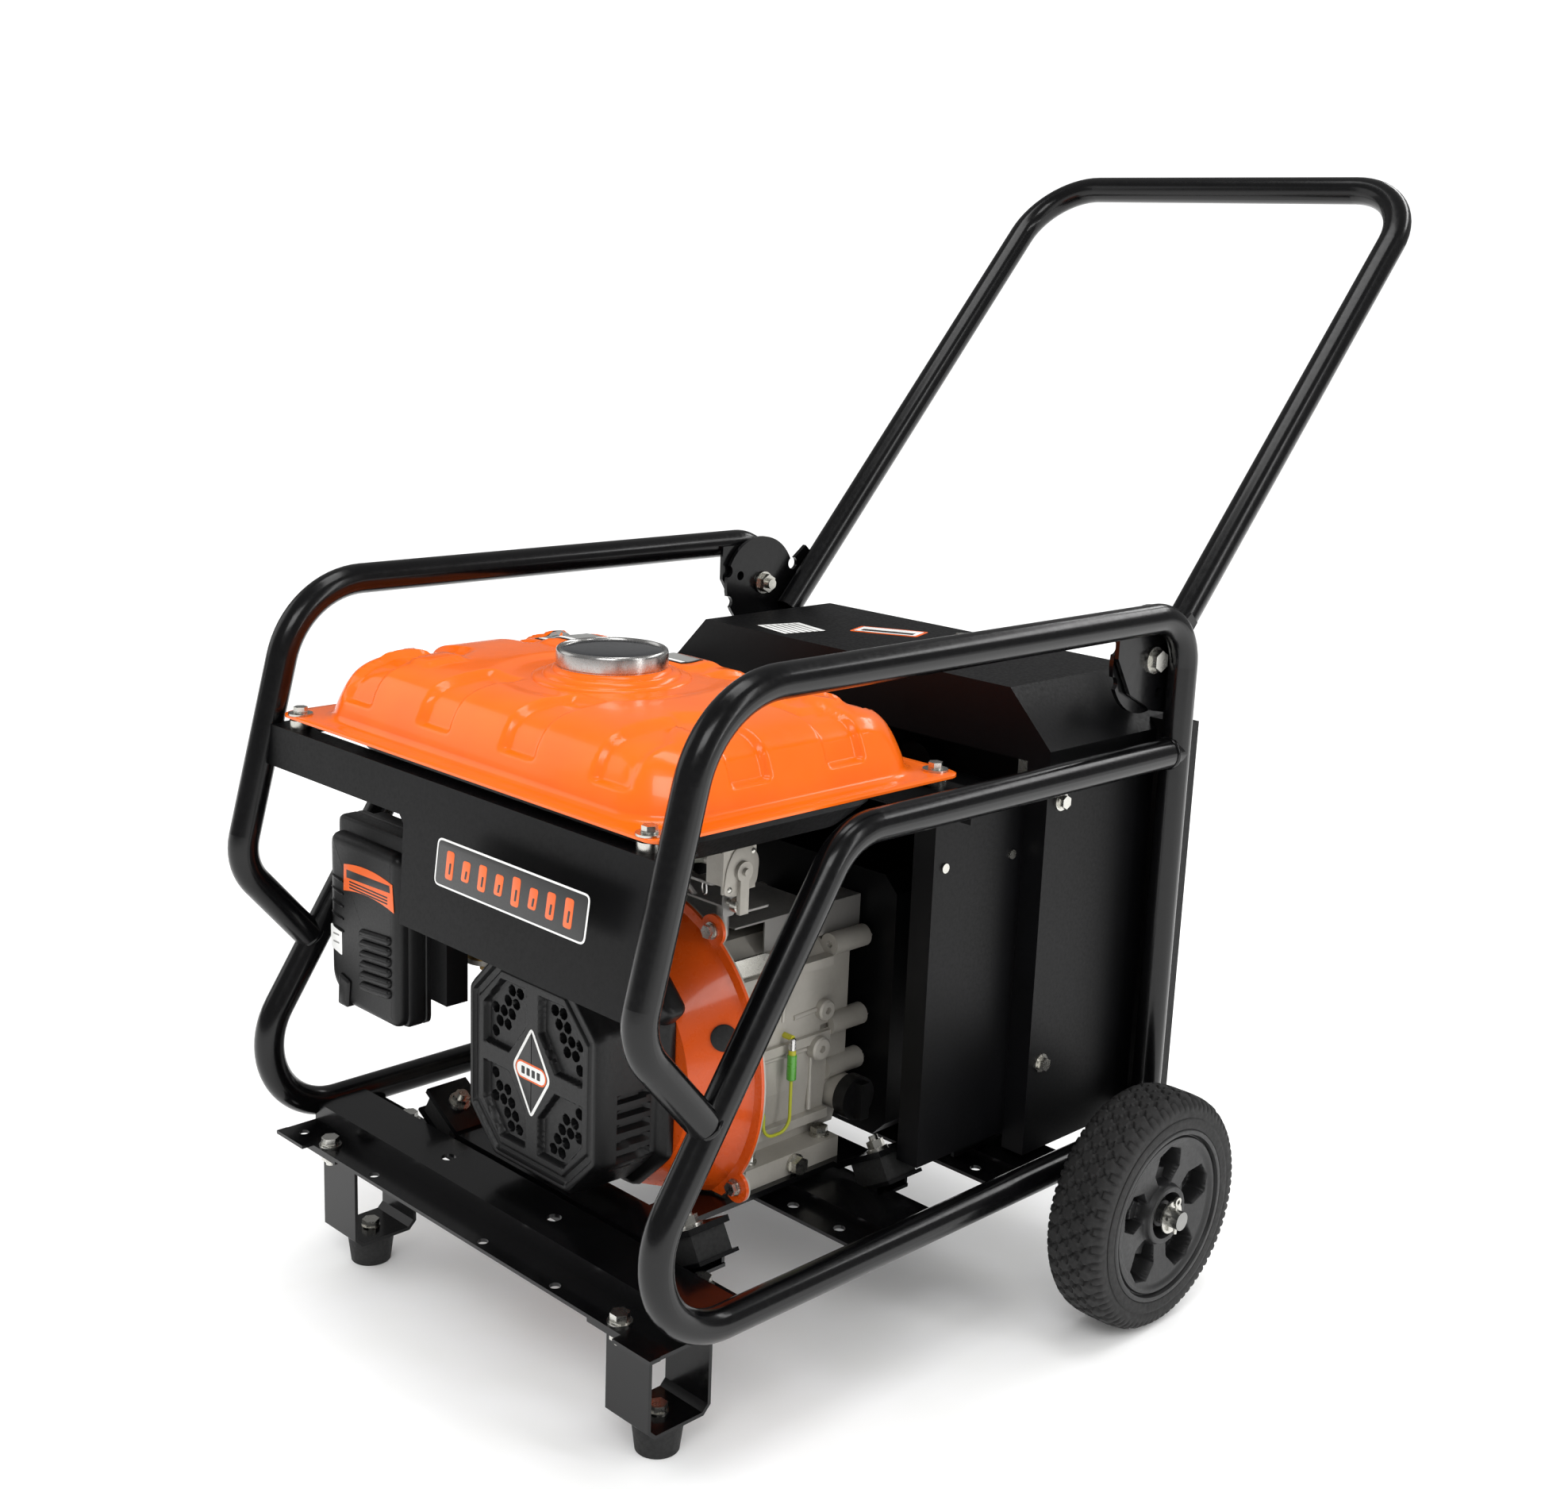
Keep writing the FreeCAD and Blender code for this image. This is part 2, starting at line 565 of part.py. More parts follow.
def tank_upper():
    """Pressed upper half of the tank with its flange and filler neck."""
    z = Z_TANK + 2.5
    levels = [(216, 50, 322, 44, z, 0), (213, 53, 319, 44, z + 16, 0), (201, 66, 307, 46, z + 36, 0.4),
              (178, 92, 284, 50, z + 48, 0.8), (150, 118, 260, 50, z + 52, 1)]
    outer, inner = dome(levels, 0.0), dome(levels, 1.5)
    flange = Part.Face(slab_wire(TANK_HALF, TANK_Y0, TANK_Y1, 14, Z_TANK)).extrude(V(0, 0, 2.5))
    flange = flange.cut(box(-200, 200, 66, 306, Z_TANK - 1, z + 1))
    shell = outer.cut(inner).fuse(flange)
    neck = cyl((0, CAP_Y, z + 46), (0, 0, 1), NECK_R, 18)
    shell = shell.fuse(neck).cut(cyl((0, CAP_Y, z + 40), (0, 0, 1), NECK_R - 6, 30))
    shell = shell.cut(dome(levels, 1.5).common(cyl((0, CAP_Y, z), (0, 0, 1), NECK_R + 2, 60)))
    return holes(shell.removeSplitter(), tank_bolt_places(), (0, 0, 1), 6.0, 4)


def tank_lower():
    """Shallow lower half of the tank."""
    levels = [(200, 66, 306, 40, Z_TANK - 1.5, 0), (196, 70, 302, 40, Z_TANK - 20, 0), (180, 84, 288, 40, Z_TANK - 38, 0)]
    outer = dome(levels, 0.0)
    inner = dome([(h, a, b, r, zz, 0) for h, a, b, r, zz, t in levels], 1.5)
    floor = box(-260, 260, 0, 400, Z_TANK - 40, Z_TANK - 36.5)
    shell = outer.cut(inner.cut(floor))
    flange = Part.Face(slab_wire(TANK_HALF - 3, TANK_Y0 + 3, TANK_Y1 - 3, 12, Z_TANK - 1.5)).extrude(V(0, 0, 1.5))
    flange = flange.cut(box(-198, 198, 68, 304, Z_TANK - 3, Z_TANK + 1))
    shell = shell.fuse(flange).removeSplitter()
    shell = shell.cut(cyl((VALVE_X, VALVE_Y, Z_TANK - 45), (0, 0, 1), 5, 12))
    return holes(shell, [(x, y, Z_TANK) for x, y, q in tank_bolt_places()], (0, 0, 1), 6.0, 4)


def tank_bolts():
    """Four flange bolts with their rubber bushes."""
    out = []
    for x, y, z in tank_bolt_places():
        out.append(bolt((x, y, z), (0, 0, 1), 6.0, 10.0, 14.0, 20.0))
        out.append(ring((x, y, 479), (0, 0, 1), 9.0, 3.0, Z_TANK - 1.5 - 479))
    return out


def tank_rear_bracket():
    """Angle between the middle rails that carries the rear of the tank."""
    top = box(-IN_FACE - 6, IN_FACE + 6, 314, 342, 477, 479)
    drop = box(-IN_FACE - 6, IN_FACE + 6, 340, 342, 450, 479)
    top = top.cut(box(-195, 195, 313, 330, 470, 480))
    bar = weld(join([top, drop]))
    return holes(bar, [(s * TANK_BOLT_X, TANK_BOLT_Y1, 479) for s in (-1, 1)], (0, 0, 1), 6.0, 4)


def fuel_cap():
    """Screw cap: a cup over the filler neck."""
    z = Z_TANK + 67.0
    cup = cyl((0, CAP_Y, z - 8), (0, 0, 1), CAP_R, 20)
    return cup.cut(cyl((0, CAP_Y, z - 9), (0, 0, 1), NECK_R + 1.0, 9 + GAP))


CARB_X = -112.0
CARB_Z = 330.0
VALVE_X = 122.0
VALVE_Y = 206.0
VALVE_Z = 412.0


def fuel_valve_body():
    """Die-cast fuel tap hanging from the tank floor."""
    nut = hexagon((VALVE_X, VALVE_Y, Z_TANK - 48), (0, 0, 1), 22.0, 10.0)
    stem = cyl((VALVE_X, VALVE_Y, VALVE_Z + 10), (0, 0, 1), 7.0, Z_TANK - 48 - VALVE_Z - 10)
    spigot = cyl((VALVE_X, VALVE_Y, Z_TANK - 40), (0, 0, 1), 5.0, 5)
    body = box(VALVE_X - 12, VALVE_X + 10, VALVE_Y - 14, VALVE_Y + 14, VALVE_Z - 12, VALVE_Z + 14)
    plate = box(VALVE_X + 10, VALVE_X + 12, VALVE_Y - 19, VALVE_Y + 15, VALVE_Z - 16, VALVE_Z + 19)
    barb = cyl((VALVE_X - 12, VALVE_Y, VALVE_Z), (-1, 0, 0), 4.0, 14)
    pin = cyl((VALVE_X + 12, VALVE_Y, VALVE_Z), (1, 0, 0), 3.0, 7.4)
    return join([nut, stem, spigot, body, plate, barb, pin])


def fuel_valve_lever():
    """Lever of the fuel tap, hanging down when open."""
    x = VALVE_X + 12 + GAP
    hub = cyl((x, VALVE_Y, VALVE_Z), (1, 0, 0), 8.0, 4.0)
    arm = box(x, x + 4, VALVE_Y - 4.5, VALVE_Y + 4.5, VALVE_Z - 34, VALVE_Z)
    return join([hub, arm]).cut(cyl((x - 1, VALVE_Y, VALVE_Z), (1, 0, 0), 3.0 + RUN_FIT, 6))


def soft_tube(pts, first, last, r, lead=40.0, tail=25.0):
    """Round flexible tube through points, leaving and arriving along given directions."""
    curve = Part.BSplineCurve()
    curve.interpolate(Points=pts, InitialTangent=first * lead, FinalTangent=last * tail)
    path = Part.Wire([curve.toShape()])
    return path.makePipeShell([Part.Wire([Part.makeCircle(r, pts[0], first)])], True, False)


def fuel_hose():
    """Rubber hose from the tap to the carburettor."""
    pts = [V(VALVE_X - 26, VALVE_Y, VALVE_Z), V(70, 192, 396), V(36, 170, 366), V(0, 148, 345), V(-34, 140, 330),
           V(-58, 136, 318), V(CARB_X + 34, 150, 316)]
    return soft_tube(pts, V(-1, 0, 0), V(-1, 0, 0), 4.0)


# ------------------------------------------------------------------ engine
DRAIN_Y = 285.0
DRAIN_Z = Z_BASE + 9.0


def crankcase():
    """Crankcase casting: base, chamber with the main bearing bore, and bosses."""
    base = box(XC - 112, XC + 112, 230, Y_CASE, Z_BASE, Z_BASE + BASE_T)
    pts = [(XC - 88, Z_BASE + 6), (XC + 88, Z_BASE + 6), (XC + 94, 200), (XC + 94, 300), (XC + 66, 332),
           (XC - 40, 332), (XC - 88, 290)]
    case = prism(pts, "xz", Y_FLANGE + 1.5, Y_CASE)
    body = base.fuse(case)
    for z in (165, 235, 300):
        body = body.fuse(box(XC + 84, XC + 98, 230, Y_CASE, z, z + 8))
    body = body.cut(box(XC - 74, XC + 74, 224, Y_CASE + 1, 156, 300))
    body = body.cut(cyl((XC, 200, ZC), (0, 1, 0), CRANK_R + RUN_FIT, 40))
    body = holes(body.removeSplitter(), base_bolt_places(), (0, 0, 1), 8.0, 26)
    body = body.cut(cyl((XC + 100, DRAIN_Y, DRAIN_Z), (1, 0, 0), 5.0, 20))
    body = body.fuse(fan_side_plate()).removeSplitter()
    return holes(body, cover_bolt_places(), (0, 1, 0), 6.0, 50)


def cover_bolt_places():
    spots = [(92, 80), (92, 10), (90, -30), (-30, 86), (-84, 30), (-80, -66)]
    return [(XC + x, 378.0, ZC + z) for x, z in spots]


OIL_Y = 355.0
OIL_Z = 182.0


def crankcase_cover():
    """Side cover with bolt bosses, the rear main bearing and the oil filler neck."""
    pts = [(XC - 88, Z_BASE + 14), (XC + 80, Z_BASE + 14), (XC + 92, 200), (XC + 92, 312), (XC + 60, 330),
           (XC - 40, 330), (XC - 88, 288)]
    body = prism(pts, "xz", Y_CASE, Y_CASE + 25)
    body = body.cut(box(XC - 74, XC + 74, Y_CASE - 1, Y_CASE + 19, 158, 300))
    body = body.fuse(cyl((XC, Y_CASE + 20, ZC), (0, 1, 0), 50, Y_COVER - Y_CASE - 20))
    for x, y, z in cover_bolt_places():
        body = body.fuse(cyl((x, Y_CASE, z), (0, 1, 0), 9.5, y - Y_CASE))
    body = body.fuse(cyl((XC + 80, OIL_Y, OIL_Z), (1, 0, 0), 16, 24))
    body = body.cut(cyl((XC + 70, OIL_Y, OIL_Z), (1, 0, 0), 10, 40))
    body = body.cut(cyl((XC, Y_CASE - 1, ZC), (0, 1, 0), CRANK_R + RUN_FIT, 60))
    body = body.cut(box(XC - 74, XC + 74, Y_CASE - 1, Y_CASE + 19, 158, 300))
    return holes(body.removeSplitter(), cover_bolt_places(), (0, 1, 0), 6.0, 60)


CYL_TILT = 35.0


def cylinder_head():
    """Finned cylinder and head leaning to the left, with the valve cover on its end."""
    parts = [box(70, 186, -42, 42, -36, 36)]
    for i in range(9):
        u = 92 + 11 * i
        parts.append(box(u, u + 3, -48, 48, -46, 46))
    parts.append(box(184, 204, -40, 40, -34, 34))
    head = join(parts).cut(cyl((60, 0, 0), (1, 0, 0), 34, 100))
    head = head.cut(cyl((150, 0, 20), (0, 0, 1), 7, 40))
    head.rotate(V(0, 0, 0), V(0, 1, 0), 180 + CYL_TILT)
    head.translate(V(XC, 283, ZC))
    case = prism([(XC - 88, 120), (XC + 94, 120), (XC + 94, 300), (XC + 66, 332), (XC - 40, 332), (XC - 88, 290)],
                 "xz", 200, 345)
    return head.cut(case)


def cylinder_shroud():
    """Tin cover over the engine with a folded side lip."""
    top = box(XC - 38, XC + 84, 236, 334, 348, 349.5)
    lip = box(XC + 82.5, XC + 84, 269, 381, 322, 349.5)
    top2 = box(XC + 60, XC + 84, 330, 381, 348, 349.5)
    tongue = box(XC + 10, XC + 40, 236, 238, 332, 349)
    foot_tab = box(XC + 10, XC + 40, 236, 300, 332, 334)
    return join([top, lip, top2, tongue, foot_tab])


def ear_places():
    spots = [(86, 118), (122, -86), (-128, 40), (-104, -86)]
    k = R_BLOWER / 140.0
    return [(XC + 8 + (x - 8) * k, Y_FLANGE - 3, ZC + z * k) for x, z in spots]


def blower_housing():
    """Pressed blower housing round the flywheel, with a flange and four bolt ears."""
    xb, depth = XC + 8, Y_FLANGE - Y_BLOWER
    outer = cone((xb, Y_BLOWER, ZC), (0, 1, 0), 102, R_BLOWER - 6, depth)
    inner = cone((xb, Y_BLOWER + 2, ZC), (0, 1, 0), 100, R_BLOWER - 8, depth)
    flange = ring((xb, Y_FLANGE - 3, ZC), (0, 1, 0), R_BLOWER, R_BLOWER - 9, 3)
    shell = outer.cut(inner).fuse(flange)
    for x, y, z in ear_places():
        ear = cyl((x, y, z), (0, 1, 0), 13, 3)
        shell = shell.fuse(ear.cut(cyl((xb, y - 1, ZC), (0, 1, 0), R_BLOWER - 9, 6)))
    shell = shell.cut(cyl((XC, Y_BLOWER - 2, ZC), (0, 1, 0), 84, 6))
    keep = box(XC - 160, XC + 170, Y_BLOWER - 5, Y_FLANGE + 5, ZC - 99, ZC + 150)
    floor = box(XC - 70, XC + 78, Y_BLOWER, Y_FLANGE, ZC - 99, ZC - 97)
    floor = floor.common(cone((xb, Y_BLOWER, ZC), (0, 1, 0), 102, R_BLOWER - 6, depth))
    shell = shell.common(keep).fuse(floor).removeSplitter()
    return holes(shell, ear_places(), (0, -1, 0), 6.0, 6)


def fan_side_plate():
    """Flange plate of the crankcase behind the flywheel, which closes the blower."""
    plate = cyl((XC + 8, Y_FLANGE, ZC), (0, 1, 0), R_BLOWER, 1.5)
    for x, y, z in ear_places():
        plate = plate.fuse(cyl((x, Y_FLANGE, z), (0, 1, 0), 13, 1.5))
    plate = plate.common(box(XC - 160, XC + 170, 200, 220, ZC - 99, ZC + 150))
    plate = plate.cut(cyl((XC, 200, ZC), (0, 1, 0), 30, 30))
    return holes(plate.removeSplitter(), ear_places(), (0, -1, 0), 6.0, 8)


def octagon(half, tall, cut, y):
    pts = [(-half, -tall + cut), (-half, tall - cut), (-half + cut, tall), (half - cut, tall), (half, tall - cut),
           (half, -tall + cut), (half - cut, -tall), (-half + cut, -tall)]
    pts = [V(XC + x, y, ZC + z) for x, z in pts]
    return Part.makePolygon(pts + [pts[0]])


def recoil_cover():
    """Octagonal recoil starter cover with four groups of round air holes and the reel post."""
    outer = Part.makeLoft([octagon(72, 78, 34, Y_RECOIL), octagon(80, 86, 38, Y_RECOIL + 9),
                           octagon(87, 92, 40, Y_BLOWER - 1)], True, True)
    inner = Part.makeLoft([octagon(69.5, 75.5, 33, Y_RECOIL + 2.5), octagon(77.5, 83.5, 37, Y_RECOIL + 9),
                           octagon(84.5, 89.5, 39, Y_BLOWER)], True, True)
    shell = outer.cut(inner)
    rim = ring((XC, Y_BLOWER - 3, ZC), (0, 1, 0), 97, 84, 3)
    shell = shell.fuse(rim)
    for sx in (-1, 1):
        for sz in (-1, 1):
            for i, j in ((0, 0), (1, 0), (0, 1), (1, 1), (2, 0), (0, 2)):
                p = (XC + sx * (32 + 11 * i), Y_RECOIL - 5, ZC + sz * (32 + 12 * j))
                shell = shell.cut(cyl(p, (0, 1, 0), 4.2, 12))
    post = cyl((XC, Y_RECOIL + 1, ZC), (0, 1, 0), 8.0, REEL_Y + 11 - Y_RECOIL)
    base = cyl((XC, Y_RECOIL + 1, ZC), (0, 1, 0), 14.0, REEL_Y - 9 - Y_RECOIL)
    shell = shell.fuse(post).fuse(base)
    a = rope_point(40)
    shell = shell.cut(cyl((a.x, a.y, a.z), (1, 0, 1), ROPE_D / 2 + 1.0, 90))
    return shell.removeSplitter()


def rope_point(s):
    """Point on the straight rope line, s along the pull direction from the tangent point."""
    k = math.sqrt(0.5)
    return V(XC + k * (s - ROPE_R), REEL_Y, ZC + k * (s + ROPE_R))


def starter_reel():
    """Rope reel turning on the post of the recoil cover."""
    y = REEL_Y - 8
    hub = cyl((XC, y, ZC), (0, 1, 0), REEL_HUB, 16)
    parts = [hub, cyl((XC, y, ZC), (0, 1, 0), 58, 3), cyl((XC, y + 13, ZC), (0, 1, 0), 58, 3)]
    return join(parts).cut(cyl((XC, y - 1, ZC), (0, 1, 0), 8.0 + RUN_FIT, 20))


def starter_grip():
    """Pull grip with the straight length of rope that leaves the reel."""
    a, b = rope_point(-60), rope_point(122)
    rope = Part.makeCylinder(ROPE_D / 2, (b - a).Length, a, b - a)
    bar = box(-52, 52, -11, 11, -10, 10)
    for s in (-1, 1):
        bar = bar.cut(box(-60, 60, 8, 12, -12, 12).cut(box(-48, 48, 8, 12, -12, 12)))
    bar.rotate(V(0, 0, 0), V(0, 1, 0), 45)
    c = rope_point(123)
    bar.translate(c)
    neck = Part.makeCone(6, 9, 10, rope_point(104), b - a)
    return join([rope, bar, neck])


def crankshaft():
    """Crankshaft: flywheel stub, two journals, webs with a pin, and the alternator shaft."""
    parts = [cyl((XC, 172, ZC), (0, 1, 0), 11.0, 34), cyl((XC, 205, ZC), (0, 1, 0), CRANK_R, 60),
             cyl((XC, 302, ZC), (0, 1, 0), CRANK_R, 78), cyl((XC, 262, ZC), (0, 1, 0), 44, 12),
             cyl((XC, 292, ZC), (0, 1, 0), 44, 12), cyl((XC, 262, ZC + 25), (0, 1, 0), 14, 42),
             cyl((XC, 379, ZC), (0, 1, 0), 14.0, 183)]
    return join(parts)


def flywheel_fan():
    """Flywheel with cooling fan blades on its front face."""
    wheel = cyl((XC, 184, ZC), (0, 1, 0), 82, 18)
    parts = [wheel, cyl((XC, 175, ZC), (0, 1, 0), 26, 10)]
    for i in range(14):
        blade = box(46, 78, -1.2, 1.2, 0, 12)
        blade.rotate(V(0, 0, 0), V(0, 0, 1), 360.0 / 14 * i)
        blade.rotate(V(0, 0, 0), V(1, 0, 0), -90)
        blade.translate(V(XC, 173, ZC))
        parts.append(blade)
    return join(parts).cut(cyl((XC, 170, ZC), (0, 1, 0), 11.0, 40))


# ------------------------------------------------------------------ alternator
STATOR_IN = 60.0
ALT_Y0 = 385.0
ALT_Y1 = 562.0


def rotor():
    return ring((XC, 425, ZC), (0, 1, 0), STATOR_IN - 0.6, 14.0, 70)


def stator():
    """Laminated stator ring held by four bars of the housing."""
    return ring((XC, 420, ZC), (0, 1, 0), 86, STATOR_IN, 80)


def alternator_housing():
    """Shroud round the alternator with a front spigot on the engine and the rear bearing."""
    half, z0, z1 = 121.0, 138.0, 371.0
    r = 14.0
    pts = [(XC - half + r, z0), (XC + half - r, z0), (XC + half, z0 + r), (XC + half, z1 - r),
           (XC + half - r, z1), (XC - half + r, z1), (XC - half, z1 - r), (XC - half, z0 + r)]
    outer = prism(pts, "xz", ALT_Y0, ALT_Y1)
    inner = box(XC - half + 3, XC + half - 3, ALT_Y0 + 3, ALT_Y1 - 6, z0 + 3, z1 - 3)
    inner = inner.common(prism([(x * 0.975 + XC * 0.025, z * 0.985 + 254 * 0.015) for x, z in pts], "xz", ALT_Y0, ALT_Y1))
    shell = outer.cut(inner)
    shell = shell.cut(cyl((XC, ALT_Y0 - 1, ZC), (0, 1, 0), 46, 6))
    shell = shell.fuse(ring((XC, Y_COVER, ZC), (0, 1, 0), 50, 42, ALT_Y0 - Y_COVER + 3))
    shell = shell.fuse(ring((XC, 408, ZC), (0, 1, 0), 96, 86, 92))
    for a in (45, 135, 225, 315):
        bar = box(90, 175, -6, 6, 0, 92)
        bar.rotate(V(0, 0, 0), V(0, 0, 1), a)
        bar.rotate(V(0, 0, 0), V(1, 0, 0), -90)
        bar.translate(V(XC, 408, ZC))
        shell = shell.fuse(bar.common(outer))
    shell = shell.cut(cyl((XC, ALT_Y1 - 30, ZC), (0, 1, 0), 14.0 + RUN_FIT, 40))
    return shell.removeSplitter()


# ------------------------------------------------------------------ enclosure
def hood():
    """Roof with chamfered sides, its front wall and its rear wall."""
    t = SHEET
    low = ENC_TOP - (ENC_HALF - ENC_FLAT)
    out = [(-ENC_HALF, low - 12), (-ENC_HALF, low), (-ENC_FLAT, ENC_TOP), (ENC_FLAT, ENC_TOP), (ENC_HALF, low),
           (ENC_HALF, low - 12)]
    inn = [(ENC_HALF - t, low - 12), (ENC_HALF - t, low - t * 0.4), (ENC_FLAT - t * 0.4, ENC_TOP - t),
           (-ENC_FLAT + t * 0.4, ENC_TOP - t), (-ENC_HALF + t, low - t * 0.4), (-ENC_HALF + t, low - 12)]
    roof = prism(out + inn, "xz", ENC_Y, PANEL_Y)
    front = prism(out, "xz", ENC_Y, ENC_Y + t)
    rear = prism(out, "xz", PANEL_Y - t, PANEL_Y)
    body = join([roof, front, rear])
    body = body.cut(box(-300, 300, 602.0, PANEL_Y + 1, 400, PANEL_TOP))
    return body.cut(cyl((20, 585, 520), (0, 0, 1), 3.0, 20))


def outer_side():
    """Outer side cover with a folded front edge."""
    z1 = ENC_TOP - (ENC_HALF - ENC_FLAT) - 12
    sheet = box(ENC_HALF - SHEET, ENC_HALF, ENC_Y, 602, ENC_LOW, z1)
    fold = box(ENC_IN_HALF, ENC_HALF, ENC_Y, ENC_Y + SHEET, ENC_LOW, z1)
    return holes(join([sheet, fold]), side_bolt_places(), (1, 0, 0), 6.0, 3)


def side_bolt_places():
    return [(ENC_HALF, 473.0, 444.0), (ENC_HALF, 471.0, 216.0)]


def inner_screw_places():
    return [(ENC_IN_HALF, 358.0, 403.0), (ENC_IN_HALF, 442.0, 399.0)]


def inner_shell():
    """Front section of the enclosure: two recessed sides and the deck between them."""
    side = box(ENC_IN_HALF - SHEET, ENC_IN_HALF, ENC_IN_Y + 10, ENC_Y + 12, 150, 446)
    fold = box(ENC_IN_HALF - 22, ENC_IN_HALF, ENC_IN_Y + 10, ENC_IN_Y + 10 + SHEET, 150, 446)
    side = holes(join([side, fold]), inner_screw_places(), (1, 0, 0), 4.0, 3)
    deck = box(-ENC_IN_HALF, ENC_IN_HALF, ENC_IN_Y + 10, ENC_Y + 12, 446, 446 + SHEET)
    foot_l = box(ENC_IN_HALF - 30, ENC_IN_HALF, ENC_Y - 30, ENC_Y + 12, 150, 150 + SHEET)
    leg = box(ENC_IN_HALF - 30, ENC_IN_HALF - 27, ENC_Y - 30, ENC_Y + 12, 125.5, 151)
    half = join([side, foot_l, leg])
    return join([half, flip(half), deck])


def enclosure_fasteners():
    """Side cover bolts with washers, recessed side screws and the roof bolt."""
    out = []
    for x, y, z in side_bolt_places():
        b = bolt((x, y, z), (1, 0, 0), 6.0, 10.0, 8.0, 16.0)
        out += [b, flip(b)]
    for x, y, z in inner_screw_places():
        s = join([cyl((x, y, z), (-1, 0, 0), 2.0, 8), cyl((x, y, z), (1, 0, 0), 4.0, 1.6)])
        out += [s, flip(s)]
    out.append(bolt((20, 585, ENC_TOP), (0, 0, 1), 6.0, 9.0, 8.0))
    return out


# ------------------------------------------------------------------ control panel
SOCKETS = ((-150.0, 400.0), (-40.0, 400.0))
SWITCH = (90.0, 420.0)
BREAKER = (90.0, 350.0)


def control_panel():
    """Rear pan between the rear posts with openings for its fittings."""
    pan = box(-PANEL_HALF, PANEL_HALF, 602, PANEL_Y, ENC_LOW, PANEL_TOP)
    pan = pan.cut(box(-PANEL_HALF + 2, PANEL_HALF - 2, 601, PANEL_Y - 2, ENC_LOW + 2, PANEL_TOP - 2))
    for x, z in SOCKETS:
        pan = pan.cut(cyl((x, 600, z), (0, 1, 0), 22.0, 40))
    pan = pan.cut(box(SWITCH[0] - 11, SWITCH[0] + 11, 600, 640, SWITCH[1] - 15, SWITCH[1] + 15))
    pan = pan.cut(cyl((BREAKER[0], 600, BREAKER[1]), (0, 1, 0), 6.5, 40))
    pan = pan.cut(cyl((170, 600, 330), (0, 1, 0), 3.0, 40))
    return weld(pan)


def outlet_sockets():
    """Two round sockets, each with a square face plate and the ears of its lid hinge."""
    out = []
    for x, z in SOCKETS:
        plate = box(x - 28, x + 28, PANEL_Y, PANEL_Y + 4, z - 28, z + 28)
        can = cyl((x, PANEL_Y - 24, z), (0, 1, 0), 22.0, 26)
        body = plate.fuse(can).cut(cyl((x, PANEL_Y - 14, z), (0, 1, 0), 18.0, 40))
        for dx in (-10, 10):
            body = body.fuse(box(x + dx - 1.2, x + dx + 1.2, PANEL_Y - 16, PANEL_Y - 4, z - 4, z + 4))
        for dx in (-24, 20):
            body = body.fuse(box(x + dx, x + dx + 4, PANEL_Y + 3, PANEL_Y + 11, z + 20, z + 28))
        body = body.fuse(cyl((x - 24, PANEL_Y + 8, z + 24), (1, 0, 0), 1.5, 48))
        out.append(body.removeSplitter())
    return out


def outlet_lid(i):
    """Flap over one socket, hinged at its top edge."""
    x, z = SOCKETS[i]
    barrel = cyl((x - 19, PANEL_Y + 8, z + 24), (1, 0, 0), 3.2, 38)
    flap = box(x - 24, x + 24, PANEL_Y + 5, PANEL_Y + 9, z - 26, z + 19)
    neck = box(x - 19, x + 19, PANEL_Y + 6, PANEL_Y + 9, z + 18, z + 24)
    return join([barrel, flap, neck]).cut(cyl((x - 30, PANEL_Y + 8, z + 24), (1, 0, 0), 1.5 + RUN_FIT, 60))


def switch_frame():
    x, z = SWITCH
    frame = box(x - 14, x + 14, PANEL_Y, PANEL_Y + 2.5, z - 18, z + 18)
    frame = frame.fuse(box(x - 11, x + 11, PANEL_Y - 16, PANEL_Y + 1, z - 15, z + 15))
    frame = frame.cut(box(x - 9, x + 9, PANEL_Y - 13, PANEL_Y + 5, z - 13, z + 13))
    pin = cyl((x - 10, PANEL_Y - 3, z), (1, 0, 0), 1.5, 20)
    return frame.fuse(pin).removeSplitter()


def engine_switch():
    """Rocker of the engine switch, turning on a pin in its frame."""
    x, z = SWITCH
    pts = [(PANEL_Y - 8, z - 3), (PANEL_Y + 1, z - 11.2), (PANEL_Y + 5, z - 10.5), (PANEL_Y + 2.5, z),
           (PANEL_Y + 5, z + 10.5), (PANEL_Y + 1, z + 11.2), (PANEL_Y - 8, z + 3)]
    rocker = prism(pts, "yz", x - 8, x + 8)
    return rocker.cut(cyl((x - 9, PANEL_Y - 3, z), (1, 0, 0), 1.5 + RUN_FIT, 18))


def breaker_collar():
    x, z = BREAKER
    tube = ring((x, PANEL_Y - 20, z), (0, 1, 0), 6.5, 5.0, 20)
    tube = tube.fuse(ring((x, PANEL_Y, z), (0, 1, 0), 10.0, 5.0, 3))
    return tube.fuse(cyl((x, PANEL_Y - 22, z), (0, 1, 0), 6.5, 2)).removeSplitter()


def breaker_button():
    """Push button of the circuit breaker."""
    x, z = BREAKER
    return cyl((x, PANEL_Y - 14, z), (0, 1, 0), 4.9, 25)


def earth_terminal():
    """Earth bolt with two nuts and a wing nut."""
    x, z = 170.0, 330.0
    parts = [cyl((x, 606, z), (0, 1, 0), 3.0, 34), hexagon((x, PANEL_Y, z), (0, 1, 0), 10.0, 5.0),
             hexagon((x, PANEL_Y - 7, z), (0, 1, 0), 10.0, 5.0), box(x - 12, x + 12, PANEL_Y + 8, PANEL_Y + 11, z - 4, z + 4)]
    return join(parts)


